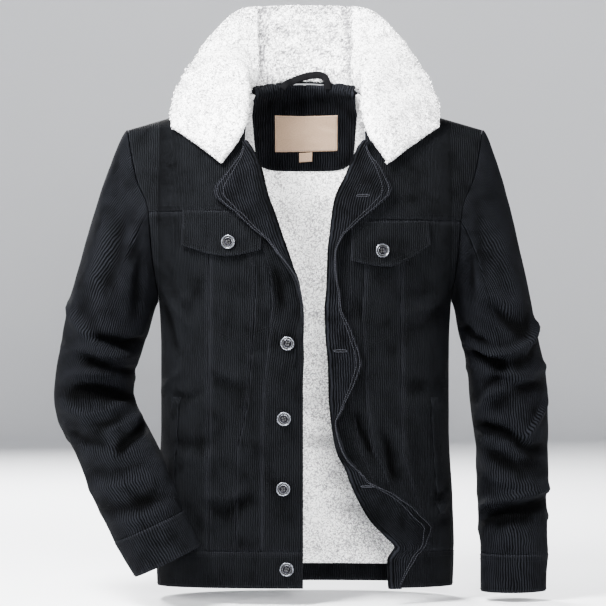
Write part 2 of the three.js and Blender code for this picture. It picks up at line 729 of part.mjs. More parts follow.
// Where the line through (x, z) along Y meets a grid, as the wall cuts its cells in triangles.
function meet(grid, x, z) {
  for (let i = 0; i < grid.length - 1; i++)
    for (let j = 0; j < grid[0].length - 1; j++)
      for (const [a, b, c] of [
        [grid[i][j], grid[i][j + 1], grid[i + 1][j + 1]],
        [grid[i][j], grid[i + 1][j + 1], grid[i + 1][j]],
      ]) {
        const area = (b[0] - a[0]) * (c[2] - a[2]) - (c[0] - a[0]) * (b[2] - a[2]);
        if (Math.abs(area) < 1e-6) continue;
        const v = ((x - a[0]) * (c[2] - a[2]) - (c[0] - a[0]) * (z - a[2])) / area;
        const w = ((b[0] - a[0]) * (z - a[2]) - (x - a[0]) * (b[2] - a[2])) / area;
        if (v >= 0 && w >= 0 && v + w <= 1) return [x, a[1] + v * (b[1] - a[1]) + w * (c[1] - a[1]), z];
      }
  throw new Error(`no cloth at ${x}, ${z}`);
}
function onLining(name, u, v, at, gap, thick) {
  const spots = Array.from({ length: v + 1 }, (_, i) =>
    Array.from({ length: u + 1 }, (_, j) => meet(inside, ...at(j / u, i / v))),
  );
  const norm = normals(spots, 1).map((row) => row.map((n) => (n[1] > 0 ? n : n.map((c) => -c))));
  const grid = spots.map((row, i) => row.map((p, j) => add(p, norm[i][j], -gap)));
  wall(name, grid, norm, { thick, seam: 0 });
}
const facingFoot = (s) => -93 + 16 * Math.abs(s) ** 6;
onLining(
  "neck_facing", 14, 7,
  (u, v) => {
    const s = 2 * u - 1;
    const top = 12 - 11 * Math.abs(s) ** 2.2;
    return [s * (64 + 11 * Math.min(1, 4 * v)), top + (facingFoot(s) - top) * v];
  },
  1.15, 1.5,
);
onLining("neck_label", 4, 2, (u, v) => [-45 + 94 * u, -18 - 49 * v], 3.5, 0.7);
onLining("size_tab", 2, 2, (u, v) => [-7 + 18 * u, -68.5 - 11 * v], 3.3, 0.7);

// The hanging loop: a flat band that arches in front of the collar's back.
function hangLoop() {
  const sewnTo = (x) => meet(inside, x * 1.12, 6)[1] - 1.15 - 1.5 - 1.9 - 1.8;
  const path = [
    [-34, 2, sewnTo(-34)], [-34, 11, 42.9], [-33, 21, 46], [-26, 28, 51], [-12, 31, 55],
    [8, 31.5, 55], [23, 30, 52], [31, 24, 47], [34, 11, 42.9], [34, 2, sewnTo(34)],
  ];
  const grid = path.map((q, i) => {
    const [a, b] = [path[Math.max(0, i - 1)], path[Math.min(path.length - 1, i + 1)]];
    const l = Math.hypot(b[0] - a[0], b[1] - a[1]);
    const n = [-(b[1] - a[1]) / l, (b[0] - a[0]) / l];
    return [-4, 4].map((w) => [q[0] + n[0] * w, q[2], q[1] + n[1] * w]);
  });
  wall("hang_loop", grid, grid.map((row) => row.map(() => [0, -1, 0])), { thick: 1.8, seam: 0 });
}
hangLoop();

export default root;
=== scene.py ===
"""Sherpa lined corduroy jacket: every sewn piece and its finish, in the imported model's frame.

Sizes are in millimetres until a mesh is made. +X is the viewer's right, +Y the jacket's back, +Z up,
and right and left are the wearer's. A grid is an array of points on the cloth's outer face.
"""

from __future__ import annotations

import logging
import math
from dataclasses import dataclass
from enum import Enum
from functools import cached_property
from typing import Callable, Sequence

import bpy
import numpy as np
from mathutils import Matrix, Vector, noise
from mathutils.bvhtree import BVHTree

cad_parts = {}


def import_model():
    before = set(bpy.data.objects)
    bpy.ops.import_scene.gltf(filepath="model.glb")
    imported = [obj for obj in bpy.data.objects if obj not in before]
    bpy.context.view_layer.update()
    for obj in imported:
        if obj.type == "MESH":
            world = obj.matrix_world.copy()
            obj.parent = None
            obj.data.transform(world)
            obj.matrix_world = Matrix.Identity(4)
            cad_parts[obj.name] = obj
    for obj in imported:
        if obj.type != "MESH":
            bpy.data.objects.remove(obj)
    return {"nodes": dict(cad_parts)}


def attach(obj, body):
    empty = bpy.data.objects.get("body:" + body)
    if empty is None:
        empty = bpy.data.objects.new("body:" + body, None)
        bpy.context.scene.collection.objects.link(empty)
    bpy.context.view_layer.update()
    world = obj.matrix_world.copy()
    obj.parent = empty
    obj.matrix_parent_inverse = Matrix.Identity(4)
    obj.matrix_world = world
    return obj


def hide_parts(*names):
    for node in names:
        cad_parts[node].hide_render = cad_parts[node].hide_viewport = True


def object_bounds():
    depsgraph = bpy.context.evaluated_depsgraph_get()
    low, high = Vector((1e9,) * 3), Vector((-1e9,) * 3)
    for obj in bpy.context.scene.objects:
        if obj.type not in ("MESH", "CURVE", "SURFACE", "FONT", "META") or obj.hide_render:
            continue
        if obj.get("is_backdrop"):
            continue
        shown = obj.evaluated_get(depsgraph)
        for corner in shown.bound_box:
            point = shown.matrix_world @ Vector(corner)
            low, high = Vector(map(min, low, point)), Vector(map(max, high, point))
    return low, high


LOG = logging.getLogger("jacket")
MM = 0.001
Array = np.ndarray
Path = Sequence[tuple[float, float]]


class Side(Enum):
    """The wearer's side of a piece; the value is the sign of its x."""

    RIGHT = -1
    LEFT = 1

    @property
    def word(self) -> str:
        """The side's word in node names."""
        return self.name.lower()


# Colour and node helpers


def linear(code: str) -> tuple[float, float, float, float]:
    """Turns an sRGB hex colour to linear values.

    Args:
        code: colour such as "#17181c".

    Returns:
        Red, green, blue and alpha.
    """
    parts = [int(code[i : i + 2], 16) / 255 for i in (1, 3, 5)]
    out = [p / 12.92 if p <= 0.04045 else ((p + 0.055) / 1.055) ** 2.4 for p in parts]
    return (out[0], out[1], out[2], 1.0)


def add_node(
    tree: bpy.types.NodeTree, kind: str, inputs: dict | None = None, **settings: object
) -> bpy.types.Node:
    """Adds one node with its settings, values and links.

    Args:
        tree: the tree it goes in.
        kind: the node's type.
        inputs: values or sockets by input name or number.
        settings: properties of the node.

    Returns:
        The new node.
    """
    made = tree.nodes.new(kind)
    for key, value in settings.items():
        setattr(made, key, value)
    for key, value in (inputs or {}).items():
        if isinstance(value, bpy.types.NodeSocket):
            tree.links.new(value, made.inputs[key])
        else:
            made.inputs[key].default_value = value
    return made


Socket = bpy.types.NodeSocket


class Finish:
    """A node material in the making, with short ways to add what the finishes share."""

    def __init__(self, name: str) -> None:
        """Makes the empty material with its Principled shader."""
        self.material = bpy.data.materials.new(name)
        self.material.use_nodes = True
        self.tree = self.material.node_tree
        self.tree.nodes.clear()
        self.shader = add_node(self.tree, "ShaderNodeBsdfPrincipled")
        add_node(self.tree, "ShaderNodeOutputMaterial", {"Surface": self.shader.outputs[0]})

    @cached_property
    def place(self) -> Socket:
        """Where a point lies in the object's own space, in metres."""
        return add_node(self.tree, "ShaderNodeTexCoord").outputs["Object"]

    @cached_property
    def grain(self) -> Socket:
        """Where a point lies across and along the cloth's grain, in metres."""
        return add_node(self.tree, "ShaderNodeUVMap", uv_map="grain").outputs[0]

    def math(self, operation: str, a: Socket | float, b: Socket | float = 0.0) -> Socket:
        """Returns the result of one Math node on a and b."""
        return add_node(self.tree, "ShaderNodeMath", {0: a, 1: b}, operation=operation).outputs[0]

    def times(self, a: Socket, b: Socket | float, plus: float | None = None) -> Socket:
        """Returns a times b, with a number added where one is given."""
        product = self.math("MULTIPLY", a, b)
        return product if plus is None else self.math("ADD", product, plus)

    def vector(self, operation: str, inputs: dict) -> Socket:
        """Returns the result of one Vector Math node."""
        return add_node(self.tree, "ShaderNodeVectorMath", inputs, operation=operation).outputs[0]

    def noise(
        self, where: Socket, scale: float, detail: float, output: str = "Fac", rough: float = 0.5
    ) -> Socket:
        """Returns one Noise texture at a place."""
        inputs = {"Vector": where, "Scale": scale, "Detail": detail, "Roughness": rough}
        return add_node(self.tree, "ShaderNodeTexNoise", inputs).outputs[output]

    def attribute(self, name: str) -> Socket:
        """Returns a value that the mesh keeps at each of its points."""
        return add_node(self.tree, "ShaderNodeAttribute", attribute_name=name).outputs["Fac"]

    def blend(self, share: Socket, low: Socket | Sequence[float], high: Sequence[float]) -> Socket:
        """Returns a colour between two."""
        inputs = {"Factor": share, 6: low, 7: high}
        return add_node(self.tree, "ShaderNodeMix", inputs, data_type="RGBA").outputs[2]

    def relief(self, height: Socket, strength: float, deep: float) -> Socket:
        """Returns the normal of a relief this deep, in metres."""
        inputs = {"Height": height, "Strength": strength, "Distance": deep}
        return add_node(self.tree, "ShaderNodeBump", inputs).outputs[0]

    def finish(self, **look: object) -> bpy.types.Material:
        """Sets the shader's inputs, named with underscores for spaces, and returns the material."""
        for name, value in look.items():
            entry = self.shader.inputs[name.replace("_", " ")]
            if isinstance(value, Socket):
                self.tree.links.new(value, entry)
            else:
                entry.default_value = value
        return self.material


# Finishes


@dataclass(frozen=True)
class Corduroy:
    """Fine-wale cotton corduroy: soft cut ribs with painted highlight on their crests and painted shade in
    the darker grooves, matt, with a low sheen on its pile.
    """

    name: str = "fine_wale_corduroy"
    wale_mm: float = 3.3  # the ribs' pitch in the photograph
    rib: str = "#0f1013"
    groove_shade: str = "#000000"
    wear_and_sheen: str = "#292a2f"  # paler at seams and edges: partly rubbed wear, partly painted highlight
    sheen: str = "#a4a7b4"
    cut: float = 3.0  # how narrow the ribs' painted crest highlights are
    speckle: float = 3.0  # how unevenly the nap lies along a rib
    crease_shade_strength: float = 0.9  # painted shade in the folds and painted highlight on their ridges
    worn: float = 0.16  # how much of the paler edge colour shows: partly rubbed wear, partly painted highlight

    def build(self) -> bpy.types.Material:
        """Returns the material; it follows the piece's own UV map, in metres across and along."""
        made = Finish(self.name)
        across = add_node(made.tree, "ShaderNodeSeparateXYZ", {0: made.grain}).outputs["X"]
        shift = made.times(made.noise(made.grain, 90.0, 2.0), 0.9)
        turn = made.math("ADD", made.times(across, 1000 / self.wale_mm), shift)
        # The wales' colour: painted highlight along each rib's crest, and painted shade, near black, in the
        # grooves.
        wave = made.math("SINE", made.times(turn, math.pi))
        ribs = made.math("POWER", made.math("ABSOLUTE", wave), 0.8)
        crest_highlight = made.math("POWER", ribs, self.cut)
        pile = made.noise(made.vector("MULTIPLY", {0: made.grain, 1: (1.0, 0.35, 1.0)}), 1500.0, 2.0)
        mottle = made.noise(made.place, 38.0, 3.0, rough=0.65)
        tone = made.times(crest_highlight, made.times(pile, self.speckle, 1 - self.speckle / 2))
        tone = made.times(tone, made.math("MAXIMUM", made.times(mottle, 3.0, -0.55), 0.35))
        # Painted shade darkens the folds and painted highlight pales their ridges.
        tone = made.times(tone, made.times(made.attribute("nap"), self.crease_shade_strength, 1.0))
        cloth = made.blend(tone, linear(self.groove_shade), linear(self.rib))
        # Seams and edges are paler: partly rubbed wear, partly painted highlight.
        rubbed = made.times(made.times(made.attribute("edge"), self.worn), ribs)
        height = made.math("ADD", ribs, made.times(pile, 0.35))
        return made.finish(
            Base_Color=made.blend(rubbed, cloth, linear(self.wear_and_sheen)), Normal=made.relief(height, 1.0, 0.0014),
            Roughness=0.8, Specular_IOR_Level=0.015,
            Sheen_Weight=0.002, Sheen_Roughness=0.4, Sheen_Tint=linear(self.sheen),
        )


@dataclass(frozen=True)
class Sherpa:
    """Knitted polyester sherpa: white pile in small tight curls, with painted grey shade between them."""

    name: str = "sherpa_pile"
    curl_mm: float = 3.3
    tip: str = "#ffffff"
    # The grey down between the curls is painted shade.
    root: str = "#5c5b5e"
    hollow_shade_strength: float = 0.7  # how much painted shade the pile gets in its folds and hollows

    def build(self) -> bpy.types.Material:
        """Returns the material, drawn in object space because pile has no grain."""
        made = Finish(self.name)
        drift = made.noise(made.place, 160.0, 2.0, "Color")
        bent = made.vector("ADD", {0: made.place, 1: made.vector("SCALE", {0: drift, "Scale": 0.004})})
        cells = {"Vector": bent, "Scale": 1000 / self.curl_mm}
        curls = add_node(made.tree, "ShaderNodeTexVoronoi", cells, feature="SMOOTH_F1").outputs["Distance"]
        fuzz = made.noise(made.place, 900.0, 3.0, rough=0.7)
        height = made.math("ADD", made.math("SUBTRACT", 1.0, curls), made.times(fuzz, 0.5))
        # Thin winding shadows lie between the curls, thicker in some places than in others.
        wind, patch = made.noise(bent, 270.0, 1.0), made.noise(made.place, 26.0, 2.0)
        line = made.math("ABSOLUTE", made.math("SUBTRACT", wind, 0.5))
        line = made.times(line, made.times(patch, -18.0, 20.0))
        shade = made.math("MINIMUM", line, made.times(made.math("SUBTRACT", height, 0.25), 2.2))
        shade = made.math("MINIMUM", shade, 1.0)
        # Painted shade deepens in the pile's folds and hollows, and behind the collar's wings.
        shade = made.times(shade, made.times(made.attribute("nap"), self.hollow_shade_strength, 1.0))
        return made.finish(
            Base_Color=made.blend(shade, linear(self.root), linear(self.tip)),
            Normal=made.relief(height, 0.8, 0.0022),
            Roughness=0.95, Specular_IOR_Level=0.15, Sheen_Weight=0.35, Sheen_Roughness=0.6,
        )


@dataclass(frozen=True)
class Thread:
    """Spun polyester sewing thread: smooth, a little paler than the nap round it."""

    name: str = "polyester_thread"
    colour: str = "#0f1012"
    dark: str = "#060607"

    def build(self) -> bpy.types.Material:
        """Returns the material with the thread's fine twist."""
        made = Finish(self.name)
        twist = made.noise(made.place, 1800.0, 1.0)
        return made.finish(
            Base_Color=made.blend(twist, linear(self.dark), linear(self.colour)),
            Normal=made.relief(twist, 0.4, 0.0002), Roughness=0.75, Specular_IOR_Level=0.04,
        )


@dataclass(frozen=True)
class Woven:
    """Flat woven tape or label cloth: fine crossing threads, matt to satin."""

    name: str
    colour: str
    dark: str
    thread_mm: float = 0.9  # drawn twice as coarse as real, so that it shows
    roughness: float = 0.7

    def build(self) -> bpy.types.Material:
        """Returns the material, on the piece's own UV map."""
        made = Finish(self.name)
        axes = add_node(made.tree, "ShaderNodeSeparateXYZ", {0: made.grain})
        turn = 1000 * 2 * math.pi / self.thread_mm
        warp, weft = (made.math("SINE", made.times(axes.outputs[axis], turn)) for axis in "XY")
        slub = made.noise(made.grain, 700.0, 2.0)
        tone = made.math("ADD", made.times(made.times(warp, weft), 0.3), slub)
        return made.finish(
            Base_Color=made.blend(tone, linear(self.dark), linear(self.colour)),
            Normal=made.relief(tone, 0.5, 0.0002), Roughness=self.roughness, Specular_IOR_Level=0.03,
        )


@dataclass(frozen=True)
class Cast:
    """Die-cast zinc button, plated gunmetal and polished, or the black lacquer in its dish."""

    name: str
    colour: str
    metallic: float
    roughness: float

    def build(self) -> bpy.types.Material:
        """Returns the material with the faint marks of handling."""
        made = Finish(self.name)
        marks = made.noise(made.place, 500.0, 3.0)
        base = linear(self.colour)
        dull = tuple(0.75 * c for c in base[:3]) + (1.0,)
        rough = made.times(made.math("ADD", marks, 0.6), self.roughness)
        return made.finish(
            Base_Color=made.blend(marks, dull, base), Normal=made.relief(marks, 0.03, 0.0001),
            Roughness=rough, Metallic=self.metallic,
        )


# Tables and creases


class Curve:
    """A smooth run of one value through table rows, with no overshoot between them."""

    def __init__(self, rows: Sequence[Sequence[float]], column: int = 1, sharp: bool = False) -> None:
        """Takes rows of [place, value, ...] and the value's column; sharp keeps the corners."""
        self.sharp = sharp
        self.at = np.array([row[0] for row in rows], float)
        self.value = np.array([row[column] for row in rows], float)
        slope = np.diff(self.value) / np.diff(self.at)
        same = slope[:-1] * slope[1:] > 0
        total = np.where(same, slope[:-1] + slope[1:], 1.0)
        lean = np.zeros_like(self.value)
        lean[1:-1] = np.where(same, 2 * slope[:-1] * slope[1:] / total, 0.0)
        lean[0], lean[-1] = slope[0], slope[-1]
        self.lean = lean

    def __call__(self, z: Array | float) -> Array:
        """Returns the value at z, held beyond the table's ends."""
        if self.sharp:
            return np.interp(z, self.at, self.value)
        z = np.clip(np.asarray(z, float), self.at[0], self.at[-1])
        k = np.clip(np.searchsorted(self.at, z, side="right") - 1, 0, len(self.at) - 2)
        h = self.at[k + 1] - self.at[k]
        t = (z - self.at[k]) / h
        a = (2 * t**3 - 3 * t**2 + 1) * self.value[k] + (3 * t**2 - 2 * t**3) * self.value[k + 1]
        return a + h * ((t**3 - 2 * t**2 + t) * self.lean[k] + (t**3 - t**2) * self.lean[k + 1])


def run_of(points: Array) -> Array:
    """Returns how far along a line each of its points lies."""
    return np.concatenate([[0], np.cumsum(np.linalg.norm(np.diff(points, axis=0), axis=-1))])


def unit(v: Array) -> Array:
    """Returns vectors of length one."""
    return v / np.maximum(np.linalg.norm(v, axis=-1, keepdims=True), 1e-9)


def ease(t: Array) -> Array:
    """A soft step from 0 to 1."""
    t = np.clip(t, 0, 1)
    return t * t * (3 - 2 * t)


def seen(path: Path, scale: float = 1.313) -> list[tuple[float, float]]:
    """Turns points as the photograph shows them, in its 606 pixels, to x and z in millimetres."""
    return [(-2.7 + (px - 303) * scale, -281 + (303 - py) * scale) for px, py in path]


@dataclass(frozen=True)
class Crease:
    """A soft ridge (height over 0) or trough along a path of (x, z) points, fading at both ends."""

    path: Sequence[tuple[float, float]]
    height: float
    width: float
    ripple: float = 0.0  # puckers of a sewn seam, across the path

    def lift(self, x: Array, z: Array) -> Array:
        """Returns how far the crease moves the cloth out at each (x, z)."""
        points = np.array(self.path, float)
        lengths = np.linalg.norm(np.diff(points, axis=0), axis=1)
        run = np.concatenate([[0], np.cumsum(lengths)])
        best = np.full(x.shape, 1e9)
        along = np.zeros(x.shape)
        for k, length in enumerate(lengths):
            a, d = points[k], (points[k + 1] - points[k]) / max(length, 1e-6)
            t = np.clip((x - a[0]) * d[0] + (z - a[1]) * d[1], 0, length)
            far = np.hypot(x - a[0] - t * d[0], z - a[1] - t * d[1])
            near = far < best
            best = np.where(near, far, best)
            along = np.where(near, run[k] + t, along)
        if self.ripple:
            wave = np.sin(along * 0.62 + 1.7 * np.sin(along * 0.11)) * np.exp(-((best / 8) ** 2))
            return self.height * np.exp(-((best / self.width) ** 2)) + self.ripple * wave
        share = along / max(run[-1], 1e-6)
        fade = ease(3.2 * np.minimum(share, 1 - share))
        return self.height * fade * np.exp(-((best / self.width) ** 2))


def creases(rows: Sequence[tuple], scale: float = 1.313, gain: float = 1.5) -> list[Crease]:
    """Makes creases from rows of height, width and the points the photograph shows."""
    made = []
    for height, width, path in rows:
        line = np.array(seen(path, scale), float)
        head, tail = line[0] - 0.4 * (line[1] - line[0]), line[-1] + 0.4 * (line[-1] - line[-2])
        made.append(Crease(np.vstack([head, line, tail]), height * gain, width))
    return made


def waver(points: Array, cell: float, seed: float) -> Array:
    """Returns smooth noise from -1 to 1 at points in millimetres, with features about a cell wide."""
    flat = points.reshape(-1, 3) / cell + seed
    out = np.fromiter((noise.noise(Vector(p)) for p in flat), float, len(flat))
    return out.reshape(points.shape[:-1])


# The body's form

FORM = [
    [-665, 199, 113, 113], [-606, 201, 117, 117], [-540, 199, 120, 118], [-440, 194, 122, 119],
    [-340, 194, 127, 122], [-277, 197, 131, 125], [-230, 213, 132, 126], [-165, 240, 131, 125],
    [-100, 252, 130, 122], [-47, 262, 130, 120], [40, 262, 130, 120],
]  # height, half width, front depth, back depth
ARMHOLE = [
    [-277, 197], [-263, 198.5], [-209, 204], [-155, 209], [-115, 225], [-80, 233], [-47, 239],
]
ROUND = 2.3
SHELL, PLY, SHERPA, ROLL = 1.5, 0.4, 5.0, 2.5

CREASES_FRONT = [
    (2.2, 6, [(160, 283), (170, 303), (184, 320), (198, 333)]),
    (-2.2, 6, [(160, 300), (167, 325), (174, 352)]),
    (1.4, 7, [(170, 290), (188, 300), (204, 322)]),
    (-1.2, 5, [(284, 345), (262, 351), (240, 354)]),
    (-2.8, 7, [(273, 268), (279, 288), (281, 312)]),
    (1.6, 6, [(264, 262), (268, 285), (270, 310)]),
    (-2.4, 6, [(212, 377), (228, 387), (248, 392)]),
    (1.6, 6, [(210, 368), (230, 377), (250, 380)]),
    (-2.2, 5, [(170, 395), (186, 399), (202, 394)]),
    (2.0, 5, [(160, 392), (168, 380), (180, 372)]),
    (-1.6, 8, [(168, 440), (190, 446), (214, 440)]),
    (1.3, 8, [(170, 455), (196, 462), (222, 455)]),
    (-3.0, 9, [(204, 509), (226, 513), (248, 503)]),
    (2.0, 7, [(205, 497), (225, 499), (246, 490)]),
    (-1.8, 5, [(184, 506), (194, 518), (204, 530)]),
    (1.4, 6, [(252, 470), (262, 490), (270, 515)]),
    (-1.6, 6, [(176, 530), (196, 536), (220, 532)]),
    (-3.2, 7, [(352, 414), (364, 434), (374, 456)]),
    (2.2, 6, [(368, 412), (376, 432), (382, 452)]),
    (-3.2, 6, [(378, 430), (388, 444), (395, 478)]),
    (1.6, 7, [(392, 424), (402, 448), (404, 474)]),
    (-2.0, 4, [(436, 506), (442, 496), (450, 488)]),
    (1.6, 4, [(434, 519), (441, 511), (450, 503)]),
    (-1.8, 5, [(430, 530), (438, 524), (449, 520)]),
    (-1.6, 7, [(408, 330), (428, 322), (448, 306)]),
    (1.8, 7, [(404, 316), (426, 308), (447, 290)]),
    (-1.4, 8, [(402, 384), (424, 390), (446, 386)]),
    (1.2, 8, [(398, 400), (420, 406), (444, 402)]),
    (-1.6, 7, [(352, 300), (366, 318), (372, 344)]),
    (-1.2, 8, [(396, 290), (404, 310), (406, 336)]),
    (1.3, 8, [(236, 226), (252, 246), (262, 270)]),
    (-1.3, 8, [(170, 205), (176, 225), (177, 250)]),
    (1.4, 9, [(440, 230), (434, 262), (436, 292)]),
    (-1.0, 9, [(190, 270), (196, 292), (194, 316)]),
]
CREASES_BACK = [
    (2.0, 9, [(160, 290), (190, 304), (225, 306)]),
    (-2.4, 8, [(160, 306), (192, 322), (236, 326)]),
    (2.0, 9, [(446, 286), (420, 300), (382, 304)]),
    (-2.2, 8, [(448, 304), (416, 318), (372, 324)]),
    (-2.0, 10, [(200, 396), (250, 408), (310, 404)]),
    (1.8, 10, [(190, 412), (250, 426), (330, 420)]),
    (-2.2, 10, [(300, 440), (360, 450), (420, 438)]),
    (1.8, 9, [(320, 458), (370, 468), (430, 456)]),
    (-2.4, 9, [(170, 486), (220, 498), (270, 492)]),
    (2.0, 9, [(180, 502), (230, 514), (290, 506)]),
    (-2.2, 8, [(330, 510), (380, 520), (440, 508)]),
    (-1.6, 10, [(200, 190), (204, 220), (196, 250)]),
    (-1.6, 10, [(408, 188), (404, 220), (412, 252)]),
    (1.6, 12, [(280, 215), (284, 260), (278, 310)]),
    (1.4, 12, [(330, 215), (326, 260), (334, 320)]),
    (-1.8, 6, [(160, 440), (176, 448), (196, 446)]),
    (-1.8, 6, [(448, 470), (430, 478), (410, 474)]),
]


class Torso:
    """The body's form: where its cloth stands at each x and height, creases included."""

    def __init__(self) -> None:
        """Reads the tables."""
        self.half = Curve(FORM, 1)
        self.deep = {False: Curve(FORM, 2), True: Curve(FORM, 3)}
        self.armhole = Curve(ARMHOLE)
        self.creases = {False: creases(CREASES_FRONT), True: creases(CREASES_BACK)}
        self.sewing: dict[bool, list[Crease]] = {False: [], True: []}

    def side(self, z: float) -> float:
        """Half width of the side seam or the armhole seam at height z."""
        return float(self.half(z)) if z < -277 else float(self.armhole(z))

    def ridge(self, x: Array, back: bool) -> Array:
        """Height of the shoulder over x; behind the neck it climbs to the collar."""
        w = np.abs(x)
        slope = -47 + 47 * (239 - w) / 161
        return np.where((w < 78) & back, slope + 52 * (1 - (w / 78) ** 2), slope)

    def plain(self, x: Array, z: Array, back: bool) -> Array:
        """Points of the form with no creases."""
        x, z = np.broadcast_arrays(np.asarray(x, float), np.asarray(z, float))
        a, b = self.half(z), self.deep[back](z)
        flank = np.maximum(0, 1 - (np.abs(x) / a) ** ROUND) ** (1 / ROUND)
        s = np.clip((self.ridge(x, back) - z) / 200, 0, 1)
        y = (1 if back else -1) * b * flank * (1 - (1 - s) ** 2) ** 0.7
        low = np.clip((-165 - z) / 300, 0, 1)
        return np.stack([x, y, z - low * 0.043 * (y + 115)], axis=-1)

    def outward(self, x: Array, z: Array, back: bool) -> Array:
        """Directions out of the form."""
        x, z = np.broadcast_arrays(np.asarray(x, float), np.asarray(z, float))
        inner = np.where(x > 0, -1.0, 1.0)
        p = self.plain(x, z, back)
        n = unit(np.cross(self.plain(x, z - 1, back) - p, self.plain(x + inner, z, back) - p))
        turn = np.sign(n[..., 1:2]) * (1 if back else -1)
        return n * np.where(turn == 0, 1, turn)

    def relief(self, x: Array, z: Array, back: bool) -> Array:
        """How far creases and sewing lift the cloth, easing to nothing at the side seams."""
        x, z = np.broadcast_arrays(np.asarray(x, float), np.asarray(z, float))
        total = np.zeros(x.shape)
        for crease in self.creases[back] + self.sewing[back]:
            total = total + crease.lift(x, z)
        p = self.plain(x, z, back)
        total = total + 1.1 * waver(p, 62, 3.1) + 0.5 * waver(p, 24, 7.7)
        return total * ease(np.abs(p[..., 1]) / 26)

    def cloth(self, x: Array, z: Array, back: bool = False) -> tuple[Array, Array]:
        """Returns the cloth's outer points and their outward directions."""
        n = self.outward(x, z, back)
        return self.plain(x, z, back) + n * self.relief(x, z, back)[..., None], n


# Grids and walls


def spans(*runs: tuple[float, float, int]) -> Array:
    """Grid values in runs of (first, last, cells), joined end to end."""
    out = [float(runs[0][0])]
    for first, last, cells in runs:
        out.extend(np.linspace(first, last, cells + 1)[1:])
    return np.round(np.array(out), 6)


def facing_out(points: Array, flip: float, loop: bool = False) -> Array:
    """Directions out of a grid's cloth, from its neighbouring points."""
    if loop:
        across = np.roll(points, -1, axis=1) - np.roll(points, 1, axis=1)
    else:
        across = np.empty_like(points)
        across[:, 1:-1] = points[:, 2:] - points[:, :-2]
        across[:, 0], across[:, -1] = points[:, 1] - points[:, 0], points[:, -1] - points[:, -2]
    along = np.empty_like(points)
    along[1:-1] = points[2:] - points[:-2]
    along[0], along[-1] = points[1] - points[0], points[-1] - points[-2]
    return unit(np.cross(across, along)) * flip


@dataclass
class Grid:
    """A sewn surface: points on its outer face, their outward directions, and its grain in mm."""

    rows: Array
    cols: Array
    points: Array
    out: Array
    grain: Array
    loop: bool = False

    def part(self, rows: tuple[float, float], cols: tuple[float, float]) -> Array:
        """Returns a mask of the cells between two rows and two columns."""
        mid_row = (self.rows[1:] + self.rows[:-1]) / 2
        ends = np.append(self.cols, self.cols[-1] + 1) if self.loop else self.cols
        mid_col = (ends[1:] + ends[:-1]) / 2
        in_row = (mid_row > rows[0]) & (mid_row < rows[1])
        in_col = (mid_col > cols[0]) & (mid_col < cols[1])
        return in_row[:, None] & in_col[None, :]


def make_object(
    name: str, points: Array, faces: Sequence[Sequence[int]], grain: Array | None = None
) -> bpy.types.Object:
    """Makes a smooth-shaded object from points in millimetres.

    Args:
        name: the object's name.
        points: vertex places.
        faces: vertex numbers of each face.
        grain: across and along places in mm for the UV map.

    Returns:
        The object, linked to the scene, with its origin at the frame's.
    """
    mesh = bpy.data.meshes.new(name)
    mesh.from_pydata((np.asarray(points) * MM).tolist(), [], [list(map(int, f)) for f in faces])
    if grain is not None:
        layer = mesh.uv_layers.new(name="grain")
        loops = np.empty(len(mesh.loops), np.int32)
        mesh.loops.foreach_get("vertex_index", loops)
        layer.data.foreach_set("uv", (np.asarray(grain)[loops] * MM).astype(np.float32).ravel())
    mesh.shade_smooth()
    made = bpy.data.objects.new(name, mesh)
    bpy.context.scene.collection.objects.link(made)
    return made


def ridges(grid: Grid, reach: int = 6) -> Array:
    """Returns how far each point stands on a ridge (to 1) or in a fold (to -1), softly."""
    p = grid.points
    i, j = np.arange(p.shape[0]), np.arange(p.shape[1])
    up, down = np.minimum(i + reach, i[-1]), np.maximum(i - reach, 0)
    if grid.loop:
        right, left = (j + reach) % len(j), (j - reach) % len(j)
    else:
        right, left = np.minimum(j + reach, j[-1]), np.maximum(j - reach, 0)
    around = (p[up] + p[down] + p[:, right] + p[:, left]) / 4
    stand = ((p - around) * grid.out).sum(-1)
    stand = stand - np.median(stand, axis=0, keepdims=True) * 0.8
    for _ in range(4):
        pad = np.pad(stand, 1, mode="edge")
        stand = (pad[:-2, 1:-1] + pad[2:, 1:-1] + pad[1:-1, :-2] + pad[1:-1, 2:]) / 4
    return np.clip(stand / 2.6, -1, 1)


def wander(points: Array, swing: float = 1.0) -> Array:
    """Returns how far, in mm, the wales wander sideways where cloth has been worn and creased."""
    return swing * (1.9 * waver(points, 44, 5.5) + 0.6 * waver(points, 15, 2.7))


